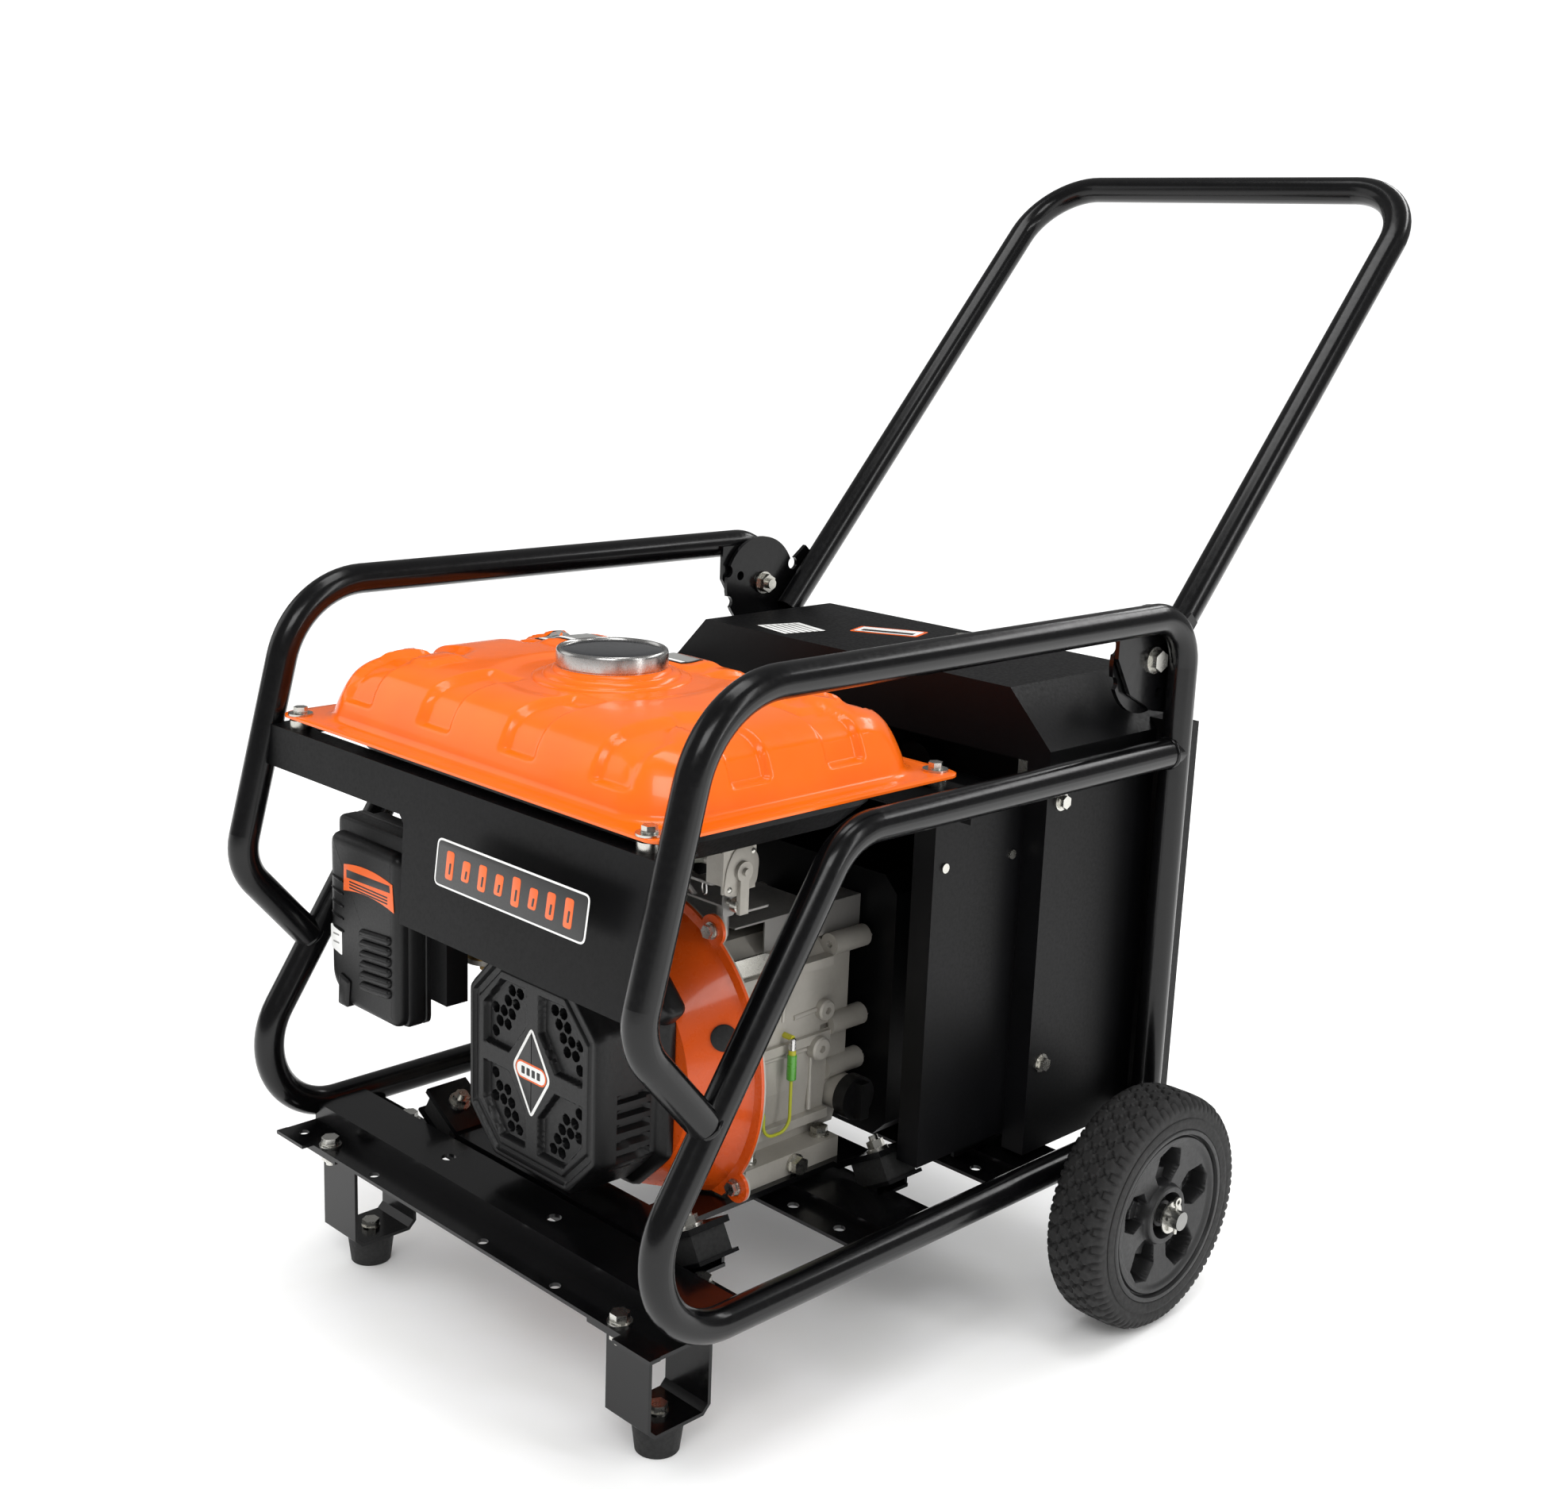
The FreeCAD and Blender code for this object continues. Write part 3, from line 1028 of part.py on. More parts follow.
# ------------------------------------------------------------------ exhaust and intake
def muffler():
    """Rounded box silencer with its pipe from the cylinder head."""
    pts = [(-196, 262), (-188, 254), (-132, 254), (-124, 262), (-124, 412), (-132, 420), (-188, 420), (-196, 412)]
    body = prism(pts, "xz", 362, 450)
    body = body.cut(prism([(x * 0.97 - 160 * 0.03, z * 0.97 + 337 * 0.03) for x, z in pts], "xz", 364, 448))
    pipe = cyl((-138, 318, 330), (0, 1, 0), 12, 46)
    flange = box(-158, -118, 331.5, 336, 312, 348)
    return join([body, pipe.cut(box(-300, 300, 300, 331.5, 0, 600)), flange])


AC_X0, AC_X1 = -221.0, -117.0
AC_Y0, AC_Y1 = 63.0, 118.0
AC_Z0, AC_Z1 = 237.0, 400.0


def air_cleaner_cover():
    """Front half of the air cleaner box."""
    ymid = AC_Y0 + 34
    pts = [(AC_X0 + 6, AC_Z0 + 12), (AC_X0 + 30, AC_Z0), (AC_X1 - 6, AC_Z0), (AC_X1, AC_Z0 + 8),
           (AC_X1, AC_Z1 - 14), (AC_X1 - 14, AC_Z1), (AC_X0 + 18, AC_Z1), (AC_X0, AC_Z1 - 16), (AC_X0, AC_Z0 + 40)]
    body = prism(pts, "xz", AC_Y0, ymid)
    cx, cz = (AC_X0 + AC_X1) / 2, (AC_Z0 + AC_Z1) / 2
    hollow = prism([(cx + (x - cx) * 0.95, cz + (z - cz) * 0.965) for x, z in pts], "xz", AC_Y0 + 2.5, ymid + 1)
    return body.cut(hollow)


def air_cleaner_case():
    """Rear half of the air cleaner with the elbow to the carburettor."""
    ymid = AC_Y0 + 34
    shell = box(AC_X0 + 4, AC_X1 + 22, ymid, AC_Y1, AC_Z0 + 22, AC_Z1 - 6)
    shell = shell.cut(box(AC_X0 + 7, AC_X1 - 3, ymid - 1, AC_Y1 - 3, AC_Z0 + 25, AC_Z1 - 9))
    latch = box(-200, -186, ymid, ymid + 14, AC_Z0 + 6, AC_Z0 + 24)
    elbow = ring((CARB_X, AC_Y1 - 1, CARB_Z), (0, 1, 0), 18, 13, 15)
    body = join([shell, latch, elbow])
    return body.cut(cyl((CARB_X, AC_Y1 - 10, CARB_Z), (0, 1, 0), 13, 20)).cut(
        box(-140, CARB_X, ymid + 4, AC_Y1 - 3, CARB_Z - 10, CARB_Z + 10))


def carburettor():
    """Carburettor with float bowl, brass drain bolt and the inlet pipe to the head."""
    x, z = CARB_X, CARB_Z
    body = box(x - 20, x + 20, 132, 168, z - 22, z + 22)
    pipe = cyl((x, 132, z), (0, 1, 0), 18, 110).cut(cylinder_head())
    bowl = cyl((x, 150, z - 46), (0, 0, 1), 19, 26)
    plug = hexagon((x, 150, z - 54), (0, 0, 1), 10, 9)
    barb = cyl((x + 18, 150, 316), (1, 0, 0), 4.0, 16)
    pin = cyl((x + 20, 152, z + 12), (1, 0, 0), 2.5, 6)
    shape = join([body, pipe, bowl, plug, barb, pin])
    return shape.cut(cyl((x, 131, z), (0, 1, 0), 12, 102))


def choke_lever():
    """Choke lever on its pin."""
    x, z = CARB_X + 20 + GAP, CARB_Z + 12
    hub = cyl((x, 152, z), (1, 0, 0), 6, 3)
    arm = box(x, x + 3, 149, 155, z, z + 32)
    return join([hub, arm]).cut(cyl((x - 1, 152, z), (1, 0, 0), 2.5 + RUN_FIT, 6))


def oil_cap():
    """Oil filler cap with a finger bar."""
    x = XC + 104 + GAP
    disc = cyl((x, OIL_Y, OIL_Z), (1, 0, 0), 19, 12)
    bar = box(x + 11, x + 20, OIL_Y - 5, OIL_Y + 5, OIL_Z - 16, OIL_Z + 16)
    plug = cyl((x - 10, OIL_Y, OIL_Z), (1, 0, 0), 9.4, 11)
    return join([disc, bar, plug])


def engine_fasteners():
    """Cover bolts, base bolts, blower ear bolts and the drain bolt."""
    out = [bolt(p, (0, 1, 0), 6.0, 10.0, 38.0) for p in cover_bolt_places()]
    out += [bolt(p, (0, 0, 1), 8.0, 13.0, 26.0, 17.0) for p in base_bolt_places()]
    out += [bolt(p, (0, -1, 0), 6.0, 10.0, 4.5, 14.0) for p in ear_places()]
    drain = bolt((XC + 112, DRAIN_Y, DRAIN_Z), (1, 0, 0), 10.0, 14.0, 12.0, 17.0)
    out.append(drain)
    return out


def sensor_wire():
    """Oil sensor wire that loops from the crankcase to its connector."""
    x = XC + 104
    pts = [V(XC + 94, 256, 194), V(x, 256, 194), V(x, 256, 170), V(x, 286, 170), V(x, 286, 216)]
    wire = bent(pts, [5, 12, 12], 1.4)
    plug = cyl((x, 286, 216), (0, 0, 1), 3.2, 24)
    stem = cyl((XC + 94, 286, 250), (1, 0, 0), 2.5, 10)
    neck = cyl((x, 286, 240), (0, 0, 1), 2.0, 10)
    return join([wire, plug, stem, neck])


# ------------------------------------------------------------------ write every node
def main():
    rt, rb = top_hoop(), base_hoop()
    save("top_hoop_right", rt)
    save("top_hoop_left", flip(rt))
    save("base_hoop_right", rb)
    save("base_hoop_left", flip(rb))
    save("front_panel", front_panel())
    save("front_channel", front_channel())
    save("cross_channels", group(cross_channels()))
    save("engine_cradle", engine_cradle())
    save("rubber_mounts", group(rubber_mounts()))
    save("front_legs", group([front_leg(-1), front_leg(1)]))
    save("leg_feet", group([foot(-1), foot(1)]))
    save("leg_bolts", group(leg_bolts()))
    save("axle", axle())
    save("rim_right", rim())
    save("rim_left", flip(rim()))
    save("tyre_right", tyre())
    save("tyre_left", flip(tyre()))
    save("wheel_retainers", group(wheel_retainers()))
    save("handle", handle())
    save("pivot_bolts", group([pivot_bolt(), flip(pivot_bolt())]))
    save("tank_upper", tank_upper())
    save("tank_lower", tank_lower())
    save("tank_bolts", group(tank_bolts()))
    save("tank_rear_bracket", tank_rear_bracket())
    save("fuel_cap", fuel_cap())
    save("fuel_valve_body", fuel_valve_body())
    save("fuel_valve_lever", fuel_valve_lever())
    save("fuel_hose", fuel_hose())
    save("crankcase", crankcase())
    save("crankcase_cover", crankcase_cover())
    save("cylinder_head", cylinder_head())
    save("cylinder_shroud", cylinder_shroud())
    save("blower_housing", blower_housing())
    save("recoil_cover", recoil_cover())
    save("starter_reel", starter_reel())
    save("starter_grip", starter_grip())
    save("crankshaft", crankshaft())
    save("flywheel_fan", flywheel_fan())
    save("rotor", rotor())
    save("stator", stator())
    save("alternator_housing", alternator_housing())
    save("enclosure_hood", hood())
    save("enclosure_sides", group([outer_side(), flip(outer_side())]))
    save("enclosure_inner_shell", inner_shell())
    save("enclosure_fasteners", group(enclosure_fasteners()))
    save("control_panel", control_panel())
    save("outlet_sockets", group(outlet_sockets()))
    save("outlet_lid_left", outlet_lid(0))
    save("outlet_lid_right", outlet_lid(1))
    save("panel_fittings", group([switch_frame(), breaker_collar(), earth_terminal()]))
    save("engine_switch", engine_switch())
    save("breaker_button", breaker_button())
    save("muffler", muffler())
    save("air_cleaner_case", air_cleaner_case())
    save("air_cleaner_cover", air_cleaner_cover())
    save("carburettor", carburettor())
    save("choke_lever", choke_lever())
    save("oil_cap", oil_cap())
    save("engine_fasteners", group(engine_fasteners() + mount_fasteners()))
    save("sensor_wire", sensor_wire())


main()
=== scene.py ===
# %% [markdown]
# # A portable generator, dressed for the studio
# The maker's solids come in as a fixed frame: steel hoops, engine, tank, panels and wheels, each in its
# own place. This lesson gives every one of them a finish and adds the fine pieces that a pressing, a
# moulding or a fitter's hand leaves on the real thing.

# %% Load the frame and measure it
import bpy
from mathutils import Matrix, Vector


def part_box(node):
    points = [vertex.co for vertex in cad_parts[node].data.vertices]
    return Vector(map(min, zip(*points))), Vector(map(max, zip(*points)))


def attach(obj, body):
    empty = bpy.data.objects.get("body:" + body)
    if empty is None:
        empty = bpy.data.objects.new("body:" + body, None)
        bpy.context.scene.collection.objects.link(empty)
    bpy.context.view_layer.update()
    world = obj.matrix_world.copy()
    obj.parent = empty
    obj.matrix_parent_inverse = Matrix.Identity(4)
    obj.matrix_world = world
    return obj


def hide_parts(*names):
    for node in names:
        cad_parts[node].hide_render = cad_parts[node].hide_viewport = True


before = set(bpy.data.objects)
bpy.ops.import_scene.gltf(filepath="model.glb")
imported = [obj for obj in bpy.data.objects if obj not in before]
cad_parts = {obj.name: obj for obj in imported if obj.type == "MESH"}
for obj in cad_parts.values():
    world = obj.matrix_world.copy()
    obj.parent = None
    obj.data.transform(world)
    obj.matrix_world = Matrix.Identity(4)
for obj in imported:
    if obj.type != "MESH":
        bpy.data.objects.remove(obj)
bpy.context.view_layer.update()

# %% Modules and the drawing's origin
import math
import bmesh
import bpy
import numpy as np

# The drawing is in millimetres, x to the right, y to the rear from the front knee, z up from the ground.
AXLE_Y, AXLE_Z = 517.0, 102.0         # the wheels' axle
WHEEL_IN, WHEEL_WIDE = 284.5, 55.0    # inner face of a wheel and its width
TREAD_RADIUS = 99.0                   # the circle on which the lugs of a tyre are laid out
CRANK_X, CRANK_Z = 14.0, 236.0        # the engine shaft's axis
NECK = (0, 187, 0)                    # a point on the filler neck's upright axis
UPRIGHT = (0, 0, 1)
FRONT = ((1, 0, 0), (0, 0, 1))        # plane seen from the front: x to the right, z up
TOP = ((1, 0, 0), (0, 1, 0))          # plane seen from above: x to the right, y to the rear
RIGHT = ((0, 1, 0), (0, 0, 1))        # plane seen from the right side: y to the right, z up
axle_low, axle_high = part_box("axle")
Y_SHIFT = AXLE_Y - 500.0 * (axle_low[1] + axle_high[1])    # drawing y minus frame y
print("drawing origin to frame origin, mm:", round(Y_SHIFT, 2))

# %% [markdown]
# ## Helpers
# A surface here is a table of points worked out with numpy: rows run one way over it, columns the other.
# Three small makers cover nearly every piece: a grid, a profile turned round an axis, and a flat outline
# raised in steps. They all end in one function that stores the mesh, merges its seams and turns its
# faces outwards.


# %% Store a mesh and let it ride on a body
def placed(points):
    """Drawing millimetres to metres in the frame: (x, y - shift, z) / 1000."""
    return (np.asarray(points, float).reshape(-1, 3) - (0.0, Y_SHIFT, 0.0)) / 1000.0


def keep_piece(name, points, faces, body, finish, slot=None, crease=35.0):
    """One named piece: seams merged, faces turned outwards, edges smooth below the crease angle."""
    mesh = bpy.data.meshes.new(name)
    mesh.from_pydata(placed(points).tolist(), [], [list(map(int, f)) for f in faces])
    work = bmesh.new()
    work.from_mesh(mesh)
    bmesh.ops.remove_doubles(work, verts=work.verts, dist=2e-6)
    bmesh.ops.dissolve_degenerate(work, edges=work.edges, dist=1e-7)
    bmesh.ops.recalc_face_normals(work, faces=work.faces)
    for edge in work.edges:
        edge.smooth = len(edge.link_faces) == 2 and edge.calc_face_angle(0.0) < math.radians(crease)
    for face in work.faces:
        face.smooth = True
    work.to_mesh(mesh)
    work.free()
    thing = bpy.data.objects.new(name, mesh)
    bpy.context.scene.collection.objects.link(thing)
    mesh.materials.append(finish)
    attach(thing, body)
    return thing


def grid_faces(rows, cols, around_rows=False, around_cols=False):
    """Quads over a table of points: each joins a point to its neighbours in the next row and column."""
    r = np.arange(rows if around_rows else rows - 1)[:, None]
    c = np.arange(cols if around_cols else cols - 1)[None, :]
    r2, c2 = (r + 1) % rows, (c + 1) % cols
    quads = np.stack([r * cols + c + 0 * c2, r2 * cols + c, r2 * cols + c2, r * cols + c2], -1)
    return quads.reshape(-1, 4).tolist()


def tube_faces(rows, cols):
    """Faces of a table of points that closes along its columns, with a cap on its first and last rows."""
    caps = [list(range(cols)), list(range((rows - 1) * cols, rows * cols))]
    return grid_faces(rows, cols, around_cols=True) + caps


def axes_about(direction):
    """Two unit vectors square to a direction and to each other."""
    d = np.asarray(direction, float)
    d = d / np.linalg.norm(d)
    side = np.cross(d, (0.0, 0.0, 1.0) if abs(d[2]) < 0.9 else (0.0, 1.0, 0.0))
    side = side / np.linalg.norm(side)
    return d, side, np.cross(d, side)


def turned(profile, centre, direction, steps=64):
    """Profile rows (radius, along) turned on an axis: centre + along*d + radius*(cos a*e1 + sin a*e2)."""
    d, e1, e2 = axes_about(direction)
    prof = np.asarray(profile, float)
    a = np.linspace(0.0, 2.0 * np.pi, steps, endpoint=False)
    round_ = np.cos(a)[None, :, None] * e1 + np.sin(a)[None, :, None] * e2
    points = np.asarray(centre, float) + prof[:, 1, None, None] * d + prof[:, 0, None, None] * round_
    return points.reshape(-1, 3), grid_faces(len(prof), steps, around_cols=True)


def inset(outline, distance):
    """A closed outline drawn in by a distance along the mean normal of each corner."""
    p = np.asarray(outline, float)
    ahead, back = np.roll(p, -1, 0) - p, p - np.roll(p, 1, 0)
    ahead /= np.linalg.norm(ahead, axis=1)[:, None]
    back /= np.linalg.norm(back, axis=1)[:, None]
    normal = np.stack([-(ahead + back)[:, 1], (ahead + back)[:, 0]], 1)
    length = np.linalg.norm(normal, axis=1)[:, None]
    normal = normal / np.maximum(length, 1e-9)
    lean = np.maximum((normal * np.stack([-ahead[:, 1], ahead[:, 0]], 1)).sum(1), 0.5)[:, None]
    area = 0.5 * np.sum(p[:, 0] * np.roll(p[:, 1], -1) - np.roll(p[:, 0], -1) * p[:, 1])
    return p + np.sign(area) * normal * distance / lean


def raised(outline, levels, origin, ex, ey):
    """A flat outline in the plane of ex and ey, stacked through (inset, height) levels, ends capped."""
    ex, ey = np.asarray(ex, float), np.asarray(ey, float)
    ez = np.cross(ex, ey)
    rings = []
    for distance, height in levels:
        q = inset(outline, distance)
        rings.append(np.asarray(origin, float) + q[:, :1] * ex + q[:, 1:] * ey + height * ez)
    return np.concatenate(rings), tube_faces(len(levels), len(rings[0]))


def round_box(width, height, radius, per_corner=6):
    """Rectangle outline with rounded corners: each corner's centre plus radius*(cos a, sin a)."""
    a = np.linspace(0.0, 0.5 * np.pi, per_corner)
    turns = (np.arange(4)[:, None] * 0.5 * np.pi + a).ravel()
    cx = np.repeat([1, -1, -1, 1], per_corner) * (width / 2 - radius)
    cy = np.repeat([1, 1, -1, -1], per_corner) * (height / 2 - radius)
    return np.stack([cx + radius * np.cos(turns), cy + radius * np.sin(turns)], 1)


def ngon(sides, radius):
    """Regular outline: radius*(cos a, sin a) at equal steps."""
    a = np.linspace(0.0, 2.0 * np.pi, sides, endpoint=False)
    return np.stack([radius * np.cos(a), radius * np.sin(a)], 1)


def easy_line(points, count):
    """Cubic pieces through points: slopes are half the step between neighbours, or the step at an end."""
    p = np.asarray(points, float)
    slope = np.gradient(p, axis=0)
    t = np.linspace(0.0, len(p) - 1.0, count)
    i = np.minimum(t.astype(int), len(p) - 2)
    s = (t - i)[:, None]
    return ((2 * s**3 - 3 * s**2 + 1) * p[i] + (s**3 - 2 * s**2 + s) * slope[i]
            + (3 * s**2 - 2 * s**3) * p[i + 1] + (s**3 - s**2) * slope[i + 1])


def rod(line, radius, sides=12):
    """Round bar on a line: each point plus radius*(cos a*n + sin a*b) square to the line, ends closed."""
    p = np.asarray(line, float)
    t = np.gradient(p, axis=0)
    t /= np.linalg.norm(t, axis=1)[:, None]
    lean = np.abs(t).mean(0)
    ref = np.eye(3)[int(np.argmin(lean))]
    n = np.cross(t, ref)
    n /= np.linalg.norm(n, axis=1)[:, None]
    b = np.cross(t, n)
    a = np.linspace(0.0, 2.0 * np.pi, sides, endpoint=False)
    r = np.broadcast_to(np.asarray(radius, float), (len(p),))[:, None, None]
    ring = p[:, None] + r * (np.cos(a)[None, :, None] * n[:, None] + np.sin(a)[None, :, None] * b[:, None])
    return ring.reshape(-1, 3), tube_faces(len(p), sides)


print("helpers ready")

# %% [markdown]
# ## Finishes
# Each finish begins with what the real surface is made of. Steel parts here are powder coated or zinc
# plated, castings are bead blasted aluminium, the tank is enamelled and the covers are moulded plastic.
# Colours are written as sRGB hex values and one function turns them to linear. One function adds a node.


# %% Two functions that every finish uses
def linear(hex_value):
    """sRGB hex to linear: c/12.92 when dark, otherwise ((c + 0.055)/1.055) to the power 2.4."""
    c = np.array([int(hex_value[i:i + 2], 16) for i in (1, 3, 5)]) / 255.0
    low, high = c / 12.92, ((c + 0.055) / 1.055) ** 2.4
    return tuple(np.where(c <= 0.04045, low, high)) + (1.0,)


def add(material, kind, settings=(), **links):
    """Add one node to a material: values set by socket or attribute name, other nodes linked into it."""
    made = material.node_tree.nodes.new(kind)
    for key, value in dict(settings).items():
        if isinstance(key, int) or key in made.inputs:
            made.inputs[key].default_value = value
        else:
            setattr(made, key, value)
    for key, (source, output) in links.items():
        target = made.inputs[int(key[1:])] if key[0] == "_" else made.inputs[key.replace("__", " ")]
        material.node_tree.links.new(source.outputs[output], target)
    return made


def finish_of(name, base, second, scale_mm, roughness, spread, bump_mm, metallic=0.0, coat=0.0,
              specular=0.5):
    """Surface whose colour drifts between two near tones, with real-sized grain in roughness and bump."""
    material = bpy.data.materials.new(name)
    material.use_nodes = True
    tree = material.node_tree
    shader = tree.nodes["Principled BSDF"]
    shader.inputs["Metallic"].default_value = metallic
    shader.inputs["Coat Weight"].default_value = coat
    shader.inputs["Coat Roughness"].default_value = 0.08
    if not metallic:
        shader.inputs["Specular IOR Level"].default_value = specular
    place = add(material, "ShaderNodeTexCoord")
    drift = add(material, "ShaderNodeTexNoise", {"Scale": 18.0, "Detail": 4.0}, Vector=(place, "Object"))
    grain = add(material, "ShaderNodeTexNoise", {"Scale": 1000.0 / scale_mm / 2.0, "Detail": 3.0},
                Vector=(place, "Object"))
    tone = add(material, "ShaderNodeMix", {"data_type": "RGBA", 6: linear(base), 7: linear(second)})
    edge = add(material, "ShaderNodeMapRange", {1: 0.35, 2: 0.65, 3: 0.0, 4: 1.0}, _0=(drift, "Fac"))
    tree.links.new(edge.outputs[0], tone.inputs[0])
    tree.links.new(tone.outputs[2], shader.inputs["Base Color"])
    rough = add(material, "ShaderNodeMapRange",
                {1: 0.3, 2: 0.7, 3: roughness - spread, 4: roughness + spread}, _0=(grain, "Fac"))
    tree.links.new(rough.outputs[0], shader.inputs["Roughness"])
    bump = add(material, "ShaderNodeBump", {"Strength": 1.0, "Distance": bump_mm / 1000.0},
               Height=(grain, "Fac"))
    tree.links.new(bump.outputs[0], shader.inputs["Normal"])
    return material


# %% The finishes of the frame, the engine and the covers
# powder coat: polyester melted on steel, glossy with a faint orange peel 2 mm across
POWDER = finish_of("gloss_powder_coat", "#050506", "#080809", 2.2, 0.22, 0.04, 0.004, coat=0.12,
                   specular=0.3)
# the sheet covers carry a flatter powder coat with a finer skin
SHEET_POWDER = finish_of("satin_powder_coat", "#060607", "#08080a", 1.4, 0.42, 0.06, 0.006,
                         specular=0.16)
# stoved enamel on pressed steel: deep colour under a clear gloss
ENAMEL = finish_of("orange_enamel", "#f0690a", "#ea6407", 6.0, 0.24, 0.03, 0.003, coat=0.35, specular=0.3)
ENAMEL_DEEP = finish_of("orange_enamel_shroud", "#cc4e10", "#c4480d", 5.0, 0.28, 0.04, 0.003, coat=0.35,
                        specular=0.3)
# zinc plate, bright passivated: pale metal with a faint warm cast
ZINC = finish_of("zinc_plate", "#d2d1cc", "#c3c1b9", 2.4, 0.28, 0.04, 0.002, metallic=1.0)
SHAFT = finish_of("machined_steel", "#9b9b99", "#858583", 0.8, 0.34, 0.08, 0.004, metallic=1.0)
# aluminium pressure casting, bead blasted: dull pale grey with grain under a millimetre
CASTING = finish_of("blasted_aluminium_casting", "#b4b0a8", "#a29e96", 1.4, 0.50, 0.07, 0.03, metallic=0.4)
TIN = finish_of("grey_coated_steel", "#8b8986", "#7f7d7a", 1.8, 0.38, 0.06, 0.010, metallic=0.35)
IRON = finish_of("sand_cast_iron", "#3b3836", "#2e2b29", 1.6, 0.62, 0.10, 0.08, metallic=0.6)
# ABS moulded in a spark-eroded tool, grain drawn a millimetre coarse so that it shows
ABS = finish_of("grained_black_abs", "#09090a", "#0d0d0e", 1.1, 0.40, 0.06, 0.016,
                specular=0.35)
HUB = finish_of("satin_black_nylon", "#0f0f10", "#141415", 1.6, 0.46, 0.06, 0.020)
RUBBER = finish_of("moulded_rubber", "#101010", "#171717", 1.5, 0.66, 0.08, 0.040)
# tyre: carbon black rubber with a light bloom of dust in its grain
TREAD = finish_of("tyre_rubber", "#141414", "#1c1b1b", 2.0, 0.72, 0.08, 0.060)
HOSE = finish_of("grey_fuel_hose", "#7f8076", "#6b6c63", 1.2, 0.48, 0.05, 0.010)
WIRE = finish_of("wire_sleeve_green_yellow", "#b3ae2a", "#9aa324", 1.4, 0.42, 0.05, 0.005)
BRASS = finish_of("turned_brass", "#a98a4e", "#8d713c", 0.9, 0.36, 0.08, 0.006, metallic=1.0)
CHROME = finish_of("brushed_steel_rim", "#c9c8c6", "#bdbcb9", 1.0, 0.26, 0.04, 0.002, metallic=1.0)
print("finishes:", len(bpy.data.materials))

# %% [markdown]
# ## Dress the solids
# A solid whose shape is already right keeps it, and only gets the finish of its real material. The hoops
# are glossier than the sheet covers, which is how one tells tube from sheet in a black machine.

# %% Finish of every solid
DRESS = {
    POWDER: "top_hoop_left top_hoop_right base_hoop_left base_hoop_right handle front_channel "
            "cross_channels front_legs engine_cradle",
    SHEET_POWDER: "front_panel tank_rear_bracket enclosure_hood enclosure_sides enclosure_inner_shell "
                  "control_panel tank_lower alternator_housing",
    ENAMEL: "tank_upper", ENAMEL_DEEP: "blower_housing",
    ZINC: "leg_bolts wheel_retainers pivot_bolts tank_bolts enclosure_fasteners engine_fasteners "
          "panel_fittings",
    SHAFT: "axle crankshaft",
    CASTING: "fuel_valve_body fuel_valve_lever crankcase crankcase_cover cylinder_head carburettor",
    TIN: "cylinder_shroud muffler choke_lever", IRON: "flywheel_fan rotor stator",
    ABS: "fuel_cap recoil_cover starter_reel starter_grip outlet_sockets outlet_lid_left outlet_lid_right "
         "engine_switch breaker_button air_cleaner_case air_cleaner_cover oil_cap",
    HUB: "rim_left rim_right", RUBBER: "rubber_mounts leg_feet", HOSE: "fuel_hose",
    TREAD: "tyre_left tyre_right",
    WIRE: "sensor_wire",
}
for material, names in DRESS.items():
    for name in names.split():
        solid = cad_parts[name]
        solid.data.materials.clear()
        solid.data.materials.append(material)
bare = [n for n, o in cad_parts.items() if not o.data.materials]
print("solids dressed:", sum(len(v.split()) for v in DRESS.values()), "left bare:", bare)

# %% [markdown]
# ## The pressed tank
# The upper half of a fuel tank is one steel pressing. The press leaves shallow channels down its front
# and sides, which stiffen it, and low pads on its roof. A heightened plane couldn't carry walls that are
# nearly upright, so the surface is a stack of rounded rectangles from flange to roof, and the channels
# are pushed in along the surface's own normal.


# %% Soft masks that every pressing uses
def soft(value, low, high):
    """0 below low, 1 above high, and the curve t*t*(3 - 2t) between them."""
    t = np.clip((np.asarray(value, float) - low) / (high - low), 0.0, 1.0)
    return t * t * (3.0 - 2.0 * t)


def band(value, centre, half, edge):
    """1 within half of the centre, falling to 0 over the edge width."""
    return 1.0 - soft(np.abs(value - centre), half - edge / 2, half + edge / 2)


def inside(x, y, corners, edge):
    """1 inside a convex outline given anticlockwise, from the largest of its edge distances."""
    c = np.asarray(corners, float)
    step = np.roll(c, -1, 0) - c
    out = np.stack([step[:, 1], -step[:, 0]], 1) / np.linalg.norm(step, axis=1)[:, None]
    far = np.max([(x - p[0]) * n[0] + (y - p[1]) * n[1] for p, n in zip(c, out)], axis=0)
    return 1.0 - soft(far, -edge / 2, edge / 2)


def surface_normals(grid):
    """Normals of a table of points that closes along its columns: cross product of the two steps."""
    down = np.gradient(grid, axis=0)
    along = np.roll(grid, -1, 1) - np.roll(grid, 1, 1)
    n = np.cross(along, down)
    return n / np.maximum(np.linalg.norm(n, axis=2), 1e-9)[..., None]


# %% Upper half of the tank
def tank_ring(half, y0, y1, r, z, long_side=120, short_side=80, corner=14):
    """Rounded rectangle at one height: four sides cut evenly and four arcs, always with the same count."""
    a = np.linspace(0, np.pi / 2, corner + 2)[1:-1]
    def arc(cx, cy, start):
        return np.stack([cx + r * np.cos(a + start), cy + r * np.sin(a + start)], 1)
    def side(p, q, n):
        t = np.linspace(0, 1, n)[:, None]
        return np.asarray(p) * (1 - t) + np.asarray(q) * t
    flat = np.concatenate([
        side((-half + r, y0), (half - r, y0), long_side), arc(half - r, y0 + r, -np.pi / 2),
        side((half, y0 + r), (half, y1 - r), short_side), arc(half - r, y1 - r, 0),
        side((half - r, y1), (-half + r, y1), long_side), arc(-half + r, y1 - r, np.pi / 2),
        side((-half, y1 - r), (-half, y0 + r), short_side), arc(-half + r, y0 + r, np.pi)])
    return np.column_stack([flat, np.full(len(flat), z)])


